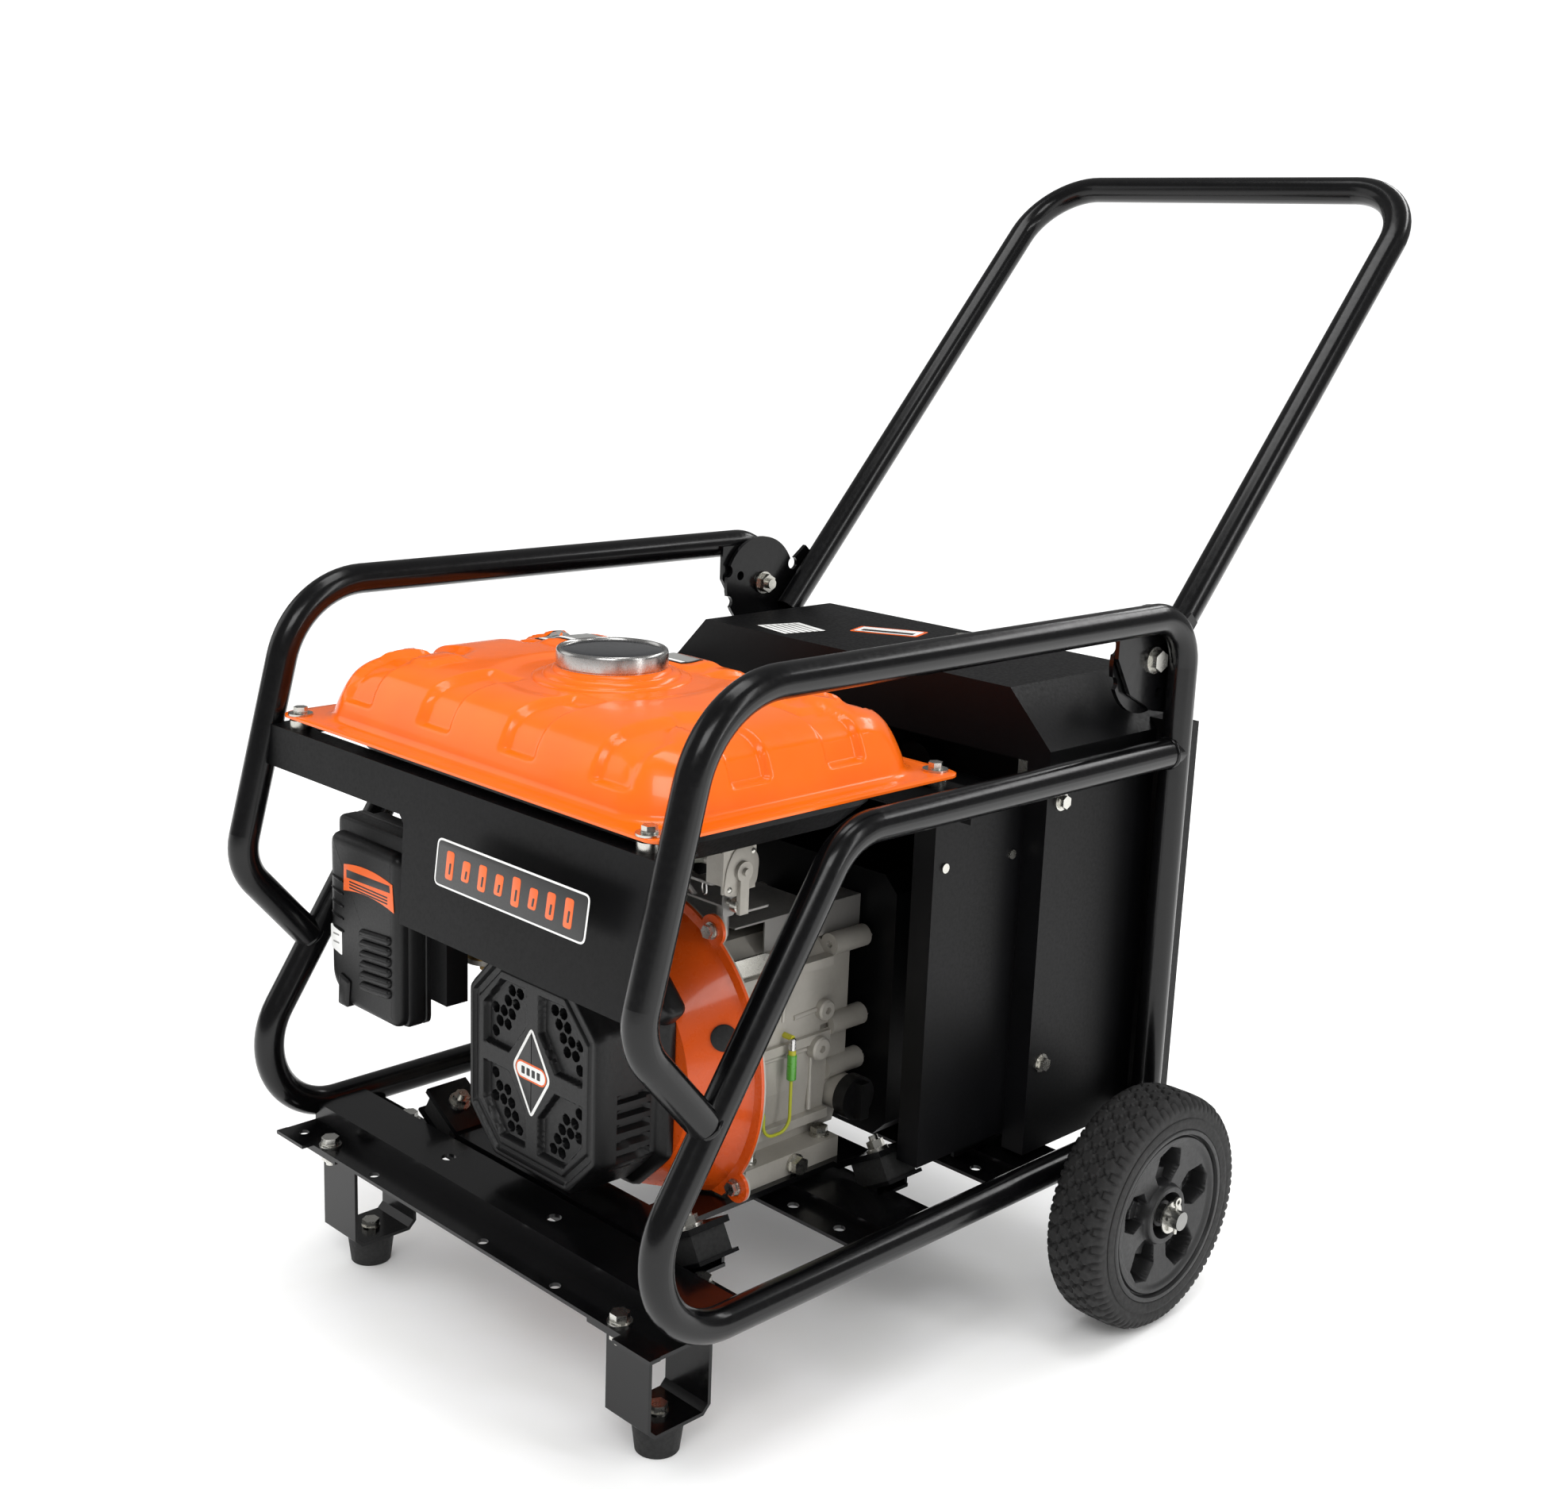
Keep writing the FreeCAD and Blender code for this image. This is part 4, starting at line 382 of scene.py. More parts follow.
# rows of half width, front y, rear y, corner radius and z
flange_rows = [(235.5, 30.5, 340, 14, 487.0), (235.5, 30.5, 340, 14, 489.0),
               (234.7, 31.3, 339.2, 14, 489.5), (228, 38, 333, 30, 489.5), (221.5, 44.5, 327.5, 44, 489.6),
               (218, 48, 324, 46, 490.8), (216, 50, 322, 46, 494)]
body_rows = np.array([(216, 50, 322, 46, 494), (214, 52.2, 320.3, 46, 502), (211, 55, 317.5, 46, 511),
                      (207.5, 58.6, 314, 46, 520), (203, 63.5, 309.5, 46, 528), (196, 71, 303.5, 47, 534.6),
                      (185, 83, 293.5, 49, 539.2), (168, 100, 277, 50, 541.8), (150, 118, 260, 48, 542.8),
                      (128, 134, 244, 42, 543.4), (100, 148, 228, 34, 543.8), (70, 160, 214, 26, 544),
                      (36, 174, 200, 12.9, 544), (2, 186, 188, 0.9, 544)])
body_rows = easy_line(body_rows, 92)[1:]
rings = np.stack([tank_ring(*row) for row in [*flange_rows, *body_rows]])
x, y, z = rings[..., 0], rings[..., 1], rings[..., 2]
normal = surface_normals(rings)
run = np.linspace(0, 1, rings.shape[0])[:, None] + 0 * x
depth_way = soft(z, 506, 511)
ends = 1.0 - soft(run, 0.63, 0.68)
on_long = (np.abs(y - 186) - 34 > (np.abs(x) - 114)).astype(float)
front = sum(band(x, c, 18, 6) for c in (-157, -52, 52, 157)) * on_long
sides = sum(band(y, c, 18, 6) for c in (138, 234)) * (1 - on_long)
push = 5.0 * (front + sides) * depth_way * ends
pads = (inside(x, y, [(-172, 226), (-98, 226), (-98, 286), (-172, 286)], 7)
        + inside(x, y, [(-58, 252), (14, 252), (14, 288), (-58, 288)], 7)
        + inside(x, y, [(92, 226), (168, 226), (168, 286), (92, 286)], 7)
        + inside(x, y, [(-178, 92), (-112, 92), (-112, 128), (-178, 128)], 7)) * soft(z, 524, 530)
from_neck = np.hypot(x, y - NECK[1])
dish = 2.0 * (1 - soft(from_neck, 78, 98)) * soft(run, 0.45, 0.6)
rings = rings - normal * push[..., None] * np.sign(normal[..., 2:3] + 1e-9)
rings[..., 2] += 3.4 * pads - dish
tank_skin = (rings.reshape(-1, 3), tube_faces(*rings.shape[:2]))
neck_line = [(64, 539), (63, 542.4), (60.5, 543.6), (55, 544), (53.6, 546.4), (51, 547.4), (47.6, 547.8),
             (46.4, 550), (44, 551), (38.5, 551.4), (38, 553.4), (32, 553.4), (32, 539)]
neck = turned(neck_line, NECK, UPRIGHT, 96)
tank = keep_piece("tank_pressing", *tank_skin, "frame", ENAMEL, "tank_orange", crease=50)
keep_piece("tank_neck", *neck, "frame", ENAMEL, "tank_orange", crease=50)
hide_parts("tank_upper")
print("tank faces:", len(tank.data.polygons))

# %% [markdown]
# ## Filler cap
# The cap is a cup of polished steel rolled round a black domed insert. It is turned in two pieces, so
# that each keeps its own finish, and both ride on the cap's body because it turns on the neck.

# %% Turn the cap
GLOSS = finish_of("gloss_black_insert", "#1b1d20", "#202226", 2.0, 0.16, 0.04, 0.004, coat=0.5)
cup_line = [(39, 546), (43.2, 546), (44, 546.8), (44, 550), (43.3, 550.8), (43.3, 551.6), (44, 552.4),
            (44, 562.6), (43.6, 564.2), (42.6, 565.1), (41.4, 565.2), (40.6, 564.4), (40.2, 563.2),
            (39, 562.6), (39, 546)]
insert_line = [(40.4, 561), (40.4, 563.2), (38, 564.2), (30, 565.1), (18, 565.7), (0, 565.9), (0, 561),
               (40.4, 561)]
cup = turned(cup_line, NECK, UPRIGHT, 96)
insert = turned(insert_line, NECK, UPRIGHT, 96)
cap = keep_piece("cap_cup", *cup, "fuel_cap", CHROME, "zinc_steel")
cap_top = keep_piece("cap_insert", *insert, "fuel_cap", GLOSS, "black_plastic")
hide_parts("fuel_cap")
print("cap turned, top at", round(max(v.co.z for v in cap_top.data.vertices) * 1000, 1), "mm")

# %% [markdown]
# ## Tyres and hubs
# A solid tyre is moulded with rows of star shaped lugs and bars on its shoulders. Modelling each lug by
# hand would take hundreds of pieces, so the tread is one surface: its section is carried round the
# wheel, and a height is added wherever a lug stands.


# %% Tread and shoulders of one tyre
def tyre_points(steps=560):
    """Section (radius, x) carried round the axle; a lug adds star or bar mask * 2.9 mm to the radius."""
    bead = [(75, 2), (75.2, 0.8), (77, 0.2), (84, 0.2), (84.5, 1.0), (88, 0.6), (92, 1.2), (95, 3.6),
            (97.3, 7)]
    crown_x = np.linspace(8.6, 46.4, 34)
    crown = np.column_stack([99.2 - 1.6 * ((crown_x - 27.5) / 20.0) ** 4, crown_x])
    half = easy_line(bead, 22)
    section = np.concatenate([half, crown, half[::-1] * (1, -1) + (0, WHEEL_WIDE)])
    back_wall = [(75, 53), (75, 27.5), (75, 2)]
    section = np.concatenate([section, back_wall])
    radius, across = section[:, 0][:, None], section[:, 1][:, None]
    turn = np.linspace(0, 2 * np.pi, steps, endpoint=False)[None, :]
    pitch = 2 * np.pi * TREAD_RADIUS / 40
    lift = np.zeros((len(section), steps))
    for row, centre in enumerate((11.5, 22.2, 32.8, 43.5)):
        along = (turn * TREAD_RADIUS + (row % 2) * pitch / 2 + pitch / 2) % pitch - pitch / 2
        gap = across - centre
        spread = np.hypot(along, gap)
        star = 6.0 + 0.9 * np.cos(6 * np.arctan2(gap, along))
        lift = np.maximum(lift, 1 - soft(spread - star, -0.7, 0.7))
    for side in (0, 1):
        edge = across if side == 0 else WHEEL_WIDE - across
        along = (turn * TREAD_RADIUS + side * pitch / 4) % (pitch / 2) - pitch / 4
        bar = band(along, 0, 2.5, 1.4) * soft(radius, 90.5, 92.5) * (1 - soft(edge, 6.5, 8.0))
        lift = np.maximum(lift, 0.9 * bar)
    high = radius + 2.9 * lift * (radius > 90)
    return high, across + 0 * high, turn + 0 * high


def wheel_piece(name, radius, across, turn, side, body, finish, slot):
    """Polar table on a wheel: x = side*(inner face + across), y and z = axle + radius*(cos, sin)."""
    grid = np.stack([side * (WHEEL_IN + across), AXLE_Y + radius * np.cos(turn),
                     AXLE_Z + radius * np.sin(turn)], -1)
    faces = grid_faces(grid.shape[0], grid.shape[1], around_cols=True, around_rows=True)
    return keep_piece(name, grid.reshape(-1, 3), faces, body, finish, slot, crease=48)


for side, hand in ((1, "right"), (-1, "left")):
    tyre = wheel_piece("tread_" + hand, *tyre_points(), side, "wheel_" + hand, TREAD, "tyre")
    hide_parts("tyre_" + hand)
print("tyre faces:", len(tyre.data.polygons))


# %% Hub with five pockets
def hub_face(steps=360, rows=96):
    """Depth below the outer face over (radius, angle): a dish, five pockets and the hub ring."""
    radius = np.concatenate([np.linspace(8.3, 71.5, rows), [73.5, 74.6, 75.0]])[:, None]
    turn = np.linspace(0, 2 * np.pi, steps, endpoint=False)[None, :]
    groove = soft(radius, 60, 66) * (1 - soft(radius, 67.5, 69))
    depth = 4.0 - 2.2 * groove + 3.0 * (1 - soft(radius, 26, 60))
    depth = depth - 4.0 * soft(radius, 69.5, 71) + 0 * turn
    pocket = [(27.5, -8), (39, -16), (55, -13.5), (60, 0), (55, 13.5), (39, 16), (27.5, 8)]
    for k in range(5):
        mid = np.pi / 2 + k * 2 * np.pi / 5
        u = radius * np.cos(turn - mid)
        v = radius * np.sin(turn - mid)
        house = inside(u, v, pocket, 2.6)
        block = inside(u, v, [(20, -7), (38, -9.5), (41, 0), (38, 9.5), (20, 7)], 3.4)
        depth = depth + house * (17 - 9 * block) * (radius > 20)
    ring = band(radius, 22.5, 3.2, 2.4)
    depth = depth - ring * 5.0 + 9.0 * (1 - soft(radius, 17.5, 20)) * soft(radius, 11.4, 13)
    depth = np.maximum(depth, 0.0)
    depth[-2:] += np.array([[0.3], [1.0]])
    return radius + 0 * turn, WHEEL_WIDE - depth, turn + 0 * radius


def hub_table():
    """The outer face and its mirror image inside, joined over the rim and down the bore."""
    radius, across, turn = hub_face()
    back = WHEEL_WIDE - across[::-4]
    return (np.concatenate([radius, radius[::-4]]), np.concatenate([across, np.minimum(back, 26)]),
            np.concatenate([turn, turn[::-4]]))


for side, hand in ((1, "right"), (-1, "left")):
    hub = wheel_piece("hub_" + hand, *hub_table(), side, "wheel_" + hand, HUB, "hub_plastic")
    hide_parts("rim_" + hand)
print("hub faces:", len(hub.data.polygons))

# %% [markdown]
# ## Recoil cover
# The starter cover is an eight sided moulding. Its face has a groove all round, four sunk fields with
# round air holes and a lozenge plate in the middle. One table of points does it: rings of a shrinking
# octagon, with a depth worked out from where each point lies.


# %% Face and skirt of the recoil cover
def octagon_ring(half_x, half_z, cut, count=400):
    """Eight sided outline cut evenly by length, so that rings of different sizes pair up."""
    c = np.array([(-half_x + cut, -half_z), (half_x - cut, -half_z), (half_x, -half_z + cut),
                  (half_x, half_z - cut), (half_x - cut, half_z), (-half_x + cut, half_z),
                  (-half_x, half_z - cut), (-half_x, -half_z + cut)], float)
    closed = np.vstack([c, c[:1]])
    walked = np.concatenate([[0], np.cumsum(np.linalg.norm(np.diff(closed, axis=0), axis=1))])
    s = np.linspace(0, walked[-1], count, endpoint=False)
    ring = np.stack([np.interp(s, walked, closed[:, 0]), np.interp(s, walked, closed[:, 1])], 1)
    for _ in range(6):
        ring = 0.5 * ring + 0.25 * (np.roll(ring, 1, 0) + np.roll(ring, -1, 0))
    return ring


def cover_depth(u, v):
    """Depth of the face: groove near the rim, four sunk fields and their rows of holes."""
    size = np.max([np.abs(u) / 80.0, np.abs(v) / 84.5, (np.abs(u) + np.abs(v)) / 131.0], axis=0)
    depth = 3.0 * band(size, 0.905, 0.035, 0.02) + 1.2 * (1 - soft(size, 0.86, 0.88))
    a, b = np.abs(u), np.abs(v)
    field = inside(a, b, [(9, 36), (30, 9), (62, 9), (62, 41), (40, 66), (9, 66)], 3.0)
    depth = depth + 5.5 * field
    holes = np.zeros_like(depth)
    for i in range(5):
        for j in range(5):
            cu, cv = 22 + i * 10.5 + (j % 2) * 5.2, 18 + j * 10.0
            fits = (cu + cv > 62) & (cu + cv < 96) & (cu < 58) & (cv < 61)
            holes = holes + fits * (1 - soft(np.hypot(a - cu, b - cv), 3.6, 4.4))
    return depth + 7.0 * np.minimum(holes, 1)


shrink = np.concatenate([np.linspace(0.004, 0.97, 92), [0.985, 0.995]])
face_rings = [octagon_ring(80 * s, 84.5 * s, 33 * s) for s in shrink]
flat = np.stack(face_rings)
face_y = 99.0 + cover_depth(flat[..., 0], flat[..., 1])
face_y[-1] += 0.6
edge_rows = [(80, 84.5, 33, 100.6), (82, 86.5, 34, 103.5), (83, 87.5, 34, 110)]
skirt_rows = [(83 + 1.5 * t, 87.5 + 0.5 * t, 34, 110 + 4.1 * k)
              for k, t in ((k, k / 11) for k in range(1, 12))]
back_rows = [(86, 89, 36, 157), (90, 93, 37, 159), (94, 94, 38, 161), (95, 95, 38, 165), (94, 94, 38, 167),
             (84, 84, 34, 167)]
walls = [(octagon_ring(hx, hz, cut), yy) for hx, hz, cut, yy in [*edge_rows, *skirt_rows, *back_rows]]
wall_flat = np.stack([w for w, _ in walls])
wall_y = np.array([yy for _, yy in walls])[:, None] + 0 * wall_flat[..., 0]
vent = (band(wall_y, 135, 15, 2) * (np.cos(wall_flat[..., 1] * 2 * np.pi / 12.5) > 0.05)
        * (np.abs(wall_flat[..., 0]) > 60) * (wall_flat[..., 1] < 6) * (wall_flat[..., 1] > -62))
pull = 1 - 0.055 * vent
all_flat = np.concatenate([flat, wall_flat * pull[..., None]])
all_y = np.concatenate([face_y, wall_y])
cover_grid = np.stack([CRANK_X + all_flat[..., 0], all_y, CRANK_Z + all_flat[..., 1]], -1)
cover = keep_piece("recoil_moulding", cover_grid.reshape(-1, 3), tube_faces(*all_y.shape), "frame", ABS,
                   "black_plastic", crease=42)
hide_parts("recoil_cover")
print("recoil cover faces:", len(cover.data.polygons))

# %% Lozenge plate in the middle of the cover
PLATE_WHITE = finish_of("printed_white_vinyl", "#ececea", "#e2e2df", 1.0, 0.34, 0.04, 0.002)
PLATE_ORANGE = finish_of("printed_orange_vinyl", "#e8641c", "#dd5a14", 1.0, 0.34, 0.04, 0.002)
INK = finish_of("printed_black_vinyl", "#161616", "#1b1b1b", 1.0, 0.36, 0.04, 0.002)
GREY_INK = finish_of("printed_grey_vinyl", "#8c8c8a", "#7d7d7b", 1.0, 0.36, 0.04, 0.002)


def round_corners(corners, radius, steps=6):
    """Outline with each corner replaced by a quadratic curve that starts and ends a radius away from it."""
    c = np.asarray(corners, float)
    back, ahead = np.roll(c, 1, 0) - c, np.roll(c, -1, 0) - c
    p0 = c + back / np.linalg.norm(back, axis=1)[:, None] * radius
    p1 = c + ahead / np.linalg.norm(ahead, axis=1)[:, None] * radius
    t = np.linspace(0, 1, steps)[None, :, None]
    return ((1 - t) ** 2 * p0[:, None] + 2 * t * (1 - t) * c[:, None] + t**2 * p1[:, None]).reshape(-1, 2)


def decal(name, outline, origin, ex, ey, lift, finish, thick=0.25, slot=None):
    """Thin printed plate: an outline raised off a face by its thickness."""
    levels = [(0, lift - thick), (0, lift), (min(0.15, thick), lift + 0.05)]
    return keep_piece(name, *raised(outline, levels, origin, ex, ey), "frame", finish, slot, crease=30)


lozenge = round_corners([(0, -39), (24.5, 0), (0, 39), (-24.5, 0)], 6)
at = (CRANK_X, 99.9, CRANK_Z)
for name, shape, lift, ink in (("lozenge_rim", lozenge, 1.0, PLATE_WHITE),
                               ("lozenge_field", inset(lozenge, 2.6), 1.15, INK),
                               ("lozenge_band_edge", round_box(39, 15, 7.4), 1.3, PLATE_ORANGE),
                               ("lozenge_band", round_box(36, 12, 5.9), 1.45, PLATE_WHITE)):
    decal(name, shape, at, *FRONT, lift - 1.2, ink, slot="black_plastic", thick=0.7)
for k, x_bar in enumerate((-11, -4.5, 2.0, 8.5)):
    bar = round_box(4.2, 6.4, 0.8) + (x_bar + 1.2, 0)
    decal("lozenge_mark_%d" % k, bar, at, *FRONT, 0.4, INK, slot="black_plastic", thick=0.5)
print("lozenge plate printed")

# %% [markdown]
# ## Air cleaner
# The cover is moulded in two steps: a back shell with the full outline and a face with its top set lower,
# so a ledge shows above it. Ribs wrap round its outer corner, and six hooded louvres let air in below.
# Each louvre is a narrow rounded outline raised in steps that draw in, so it bulges like a lip.

# %% Faces that the plates and small pieces sit on
ON_PANEL, ON_CLEANER, ON_BOX = (0, 2.2, 0), (0, 65.5, 0), (0, 0, 533)
CASE_SIDE = CRANK_X + 94.0        # right face of the crankcase


def fit(name, shape, finish, slot, body="frame"):
    """Keep one piece from a shape, its points and faces; it rides on the frame unless a body is named."""
    return keep_piece(name, *shape, body, finish, slot)


print("right face of the crankcase at x =", CASE_SIDE)

# %% Cover, ledge, ribs and louvres
back_line = round_corners([(-207, 237), (-117, 237), (-117, 400), (-221, 400), (-221, 262)], 9)
back_steps = [(0, 0), (0, 4), (1, 4.8), (1, 6.4), (0, 7.2), (0, 18), (1, 20.4), (3.4, 21.6)]
face_line = round_corners([(-196, 238), (-119, 238), (-119, 387), (-219.5, 387), (-219.5, 256)], 11)
face_steps = [(0, 0), (0, 12), (0.8, 15), (2.6, 17.4), (5.5, 18.7), (9, 19)]
shell = fit("air_cover_back", raised(back_line, back_steps, (0, 97, 0), *FRONT), ABS, "black_plastic")
fit("air_cover_face", raised(face_line, face_steps, (0, 84.5, 0), *FRONT), ABS, "black_plastic")
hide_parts("air_cleaner_cover")
for k in range(5):
    drop = 11 * k
    line = easy_line([(-219.6, 92, 352 - drop), (-220.4, 80, 351 - drop), (-218.6, 70.5, 350 - drop),
                      (-214, 66.4, 349 - drop), (-203, 65.3, 347.5 - drop), (-198, 65.9, 347 - drop)], 26)
    fit("air_rib_%d" % k, rod(line, 1.3, 8), ABS, "black_plastic")
lip_steps = [(0, -0.6), (0.3, 1.2), (1.2, 2.6), (2.6, 3.2)]
for k in range(6):
    lip = round_box(45, 8.4, 4.1) + (-150, 311 - 9.2 * k)
    lip[:, 1] += 0.09 * (lip[:, 0] + 150)
    fit("air_louvre_%d" % k, raised(lip, lip_steps, (0, 65.6, 0), *FRONT), ABS, "black_plastic")
tab = round_corners([(-205, 237.5), (-190, 237.5), (-187, 262), (-203, 266)], 3)
tab_steps = [(0, -22), (0, 2.4), (1.2, 3.6), (2.6, 4)]
fit("air_tab", raised(tab, tab_steps, (0, 66.5, 0), *FRONT), ABS, "black_plastic")

# %% [markdown]
# ## Printed plates
# Every plate is a flat outline a few tenths of a millimetre thick, with plain bars in place of print.
# The badge on the front panel is a row of short orange blocks inside a thin white line.

# %% Badge on the front panel
badge = round_corners([(24, 414), (197, 414), (203, 451), (30, 451)], 6)
decal("badge_line", badge, ON_PANEL, *FRONT, 0.30, PLATE_WHITE, slot="panel_black")
decal("badge_field", inset(badge, 1.5), ON_PANEL, *FRONT, 0.42, INK, slot="panel_black")
for k, tall in enumerate((11, 8, 10, 8, 11, 8, 10, 11)):
    x0 = 38 + 19.4 * k
    block = round_corners([(x0, 432.5 - tall), (x0 + 9, 432.5 - tall), (x0 + 12.5, 432.5 + tall),
                           (x0 + 3.5, 432.5 + tall)], 2.6)
    decal("badge_block_%d" % k, block, ON_PANEL, *FRONT, 0.54, PLATE_ORANGE, slot="panel_black")
    low, high = 430 - tall * 0.4, 430 + tall * 0.4
    slit = round_corners([(x0 + 4.4, low), (x0 + 6.6, low), (x0 + 8.4, high), (x0 + 6.2, high)], 0.8)
    decal("badge_slit_%d" % k, slit, ON_PANEL, *FRONT, 0.64, INK, slot="panel_black")
print("badge printed")

# %% Plates on the air cleaner and the box
arched = [(x, 366.5 - 0.0032 * (x + 162) ** 2) for x in np.linspace(-196, -125, 9)]
arched += [(x, 343.5 - 0.0032 * (x + 162) ** 2) for x in np.linspace(-123, -197, 9)]
heading = [(-192, 359), (-129, 360.5), (-128, 354.5), (-192, 352)]
side_plate = round_corners([(-217, 285), (-200.5, 281), (-200.5, 303), (-217, 306)], 2)
cleaner_plates = [("air_plate", arched, 0.3, PLATE_ORANGE), ("air_plate_bar", heading, 0.42, INK)]
cleaner_plates += [("air_plate_line_%d" % k, round_box(56, 1.3, 0.5) + (-160, 349.5 - 2.6 * k), 0.42, INK)
                   for k in range(3)]
cleaner_plates += [("air_side_plate", side_plate, 0.35, PLATE_WHITE)]
cleaner_plates += [("air_side_bar_%d" % k, round_box(9, 1.6, 0.6) + (-209, 298 - 7 * k), 0.45, GREY_INK)
                   for k in range(2)]
for name, outline, lift, ink in cleaner_plates:
    decal(name, outline, ON_CLEANER, *FRONT, lift, ink, slot="black_plastic")

spec = round_corners([(-135, 472), (-87, 463), (-76, 509), (-122, 518)], 3)
spec_row = np.array([(-128, 476), (-87, 468.4), (-86.4, 471), (-127.4, 478.6)])
note = round_corners([(-66, 527), (-9, 557), (-19, 585), (-76, 555)], 3)
note_row = [(-61, 537), (-17, 560), (-20, 568), (-64, 545)]
box_plates = [("spec_plate_edge", spec, 0.25, INK), ("spec_plate", inset(spec, 1.6), 0.35, PLATE_WHITE)]
box_plates += [("spec_line_%d" % k, spec_row + (1.5 * k, 6.2 * k), 0.45, GREY_INK) for k in range(6)]
box_plates += [("note_plate", note, 0.25, PLATE_ORANGE), ("note_field", inset(note, 3), 0.35, PLATE_WHITE),
               ("note_bar", note_row, 0.45, INK)]
for name, outline, lift, ink in box_plates:
    decal(name, outline, ON_BOX, *TOP, lift, ink, slot="panel_black")
print("plates printed:", len(cleaner_plates) + len(box_plates))

# %% [markdown]
# ## Small pieces on the engine
# The blower carries a rubber plug, the tap a riveted arch plate, and the crankcase raised ribs and bosses.
# The plug faces along the blower's cone: outwards and a little forwards.

# %% Plug and tap plate
out = np.array((0.933, 0, 0.361))
spot = np.array((22, 193, CRANK_Z)) + out * 120.5
lean = out * 0.815 + np.array((0, -0.579, 0))
plug = [(0, -1), (10.5, -1), (10.5, 1.4), (9.4, 2.2), (0, 2.4)]
fit("blower_plug", turned(plug, spot, lean, 40), RUBBER, "rubber")
arch = [(187, 395), (204, 392), (222, 399), (224, 420), (214, 433), (198, 431), (190, 417)]
arch = round_corners(arch, 6)
fit("tap_plate", raised(arch, [(0, -1), (0, 0.8), (0.6, 1.2)], (134, 0, 0), *RIGHT), CASTING, "die_cast")
rivet = [(0, -1), (2.4, -1), (2.4, 0.6), (1.4, 1.4), (0, 1.6)]
for k, (y_rivet, z_rivet) in enumerate(((193, 399), (217, 426))):
    fit("tap_rivet_%d" % k, turned(rivet, (135, y_rivet, z_rivet), (1, 0, 0), 16), ZINC, "zinc_steel")
print("tap plate and plug fitted")

# %% Ribs and bosses of the crankcase, linkage and float bowl
rib_ends = ((250, 232, 316, 231), (318, 176, 318, 232), (296, 262, 334, 264), (284, 262, 284, 320))
for k, (y0, z0, y1, z1) in enumerate(rib_ends):
    rib = [(CASE_SIDE, y0, z0), (CASE_SIDE, (y0 + y1) / 2, (z0 + z1) / 2), (CASE_SIDE, y1, z1)]
    fit("case_rib_%d" % k, rod(rib, 2.2, 10), CASTING, "die_cast")
for k, (y0, z0, r, deep) in enumerate(((322, 231, 10, 16), (330, 262, 9, 13))):
    boss = [(0, -2), (r, -2), (r, deep - 1.5), (r - 1.5, deep), (3.2, deep), (3.2, deep - 4), (0, deep - 4)]
    fit("case_boss_%d" % k, turned(boss, (CASE_SIDE - 6, y0, z0), (1, 0, 0), 32), CASTING, "die_cast")
bracket = round_corners([(226, 306), (318, 268), (316, 302), (262, 326), (226, 326)], 3)
fit("linkage_plate", raised(bracket, [(0, 0), (0, 1.2), (0.3, 1.5)], (CASE_SIDE - 2, 0, 0), *RIGHT),
    ZINC, "zinc_steel")
shelf = round_corners([(66, 208), (132, 208), (132, 240), (66, 240)], 3)
fit("linkage_shelf", raised(shelf, [(0, 0), (0, 1.6), (0.3, 1.9)], (0, 0, 376), *TOP), TIN, "tin_grey")
fit("linkage_post", rod([(96, 224, 346), (96, 224, 361), (96, 224, 377)], 5, 16), TIN, "tin_grey")
screw = [(0, -14), (3, -14), (3, -3), (6, -3), (6, 3), (5, 4), (1.6, 4), (1.6, 2.6), (0, 2.6)]
fit("linkage_screw", turned(screw, (132, 205, 384), (1, 0, 0), 28), ZINC, "zinc_steel")
lug = round_corners([(200, 372), (212, 372), (212, 391), (200, 391)], 3)
fit("linkage_lug", raised(lug, [(0, 0), (0, 1.5)], (120, 0, 0), *RIGHT), TIN, "tin_grey")
bowl_bolt = raised(ngon(6, 6.2), [(0, 0), (0, 9), (0.8, 10)], (-112, 150, 284.5), (1, 0, 0), (0, -1, 0))
fit("bowl_bolt", bowl_bolt, BRASS, "zinc_steel")
bowl = [(0, 0), (14, 0), (19.6, 6), (20.4, 12), (20.4, 25), (19.4, 26), (0, 26)]
fit("bowl", turned(bowl, (-112, 150, 283), (0, 0, 1), 48), BRASS, "zinc_steel")

# %% [markdown]
# ## Starter grip and welds
# The grip is a rounded bar square to the rope, drawn in its own frame: along the bar, across it and along
# the pull. A weld bead is a low ring of filler metal round a tube that ends on another.

# %% Grip and rope
CORD = finish_of("braided_nylon_cord", "#26262a", "#121214", 0.8, 0.6, 0.08, 0.05)
SLANT = math.sqrt(0.5)               # sine and cosine of 45 degrees, the slope of the pull
ROPE_RADIUS, ROPE_Y = 20.6, 151.0    # from the shaft's axis to the rope's middle, and its place along y


def on_rope(s):
    """Point s along the rope from where it leaves the reel: shaft + SLANT*(s - radius, 0, s + radius)."""
    return np.array((CRANK_X + SLANT * (s - ROPE_RADIUS), ROPE_Y, CRANK_Z + SLANT * (s + ROPE_RADIUS)))


bar_steps = [(5, -10), (2, -9.2), (0.5, -7.6), (0, -5), (0, 5), (0.6, 7.4), (2.4, 9.2), (5.4, 10)]
bar = raised(round_box(104, 22, 9, 10), bar_steps, on_rope(123), (SLANT, 0, -SLANT), (0, 1, 0))
grip = keep_piece("grip_moulding", *bar, "grip", ABS, "black_plastic", crease=50)
stem_line = [(0, 0), (5.6, 0), (6.4, 2), (8.8, 9), (8.8, 10.5), (0, 10.5)]
fit("grip_neck", turned(stem_line, on_rope(104), (SLANT, 0, SLANT), 40), ABS, "black_plastic", body="grip")
rope = rod([on_rope(v) for v in np.linspace(-60, 106, 40)], 2.0, 12)
fit("grip_rope", rope, CORD, "wire", body="grip")
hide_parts("starter_grip")
print("grip and rope ready")

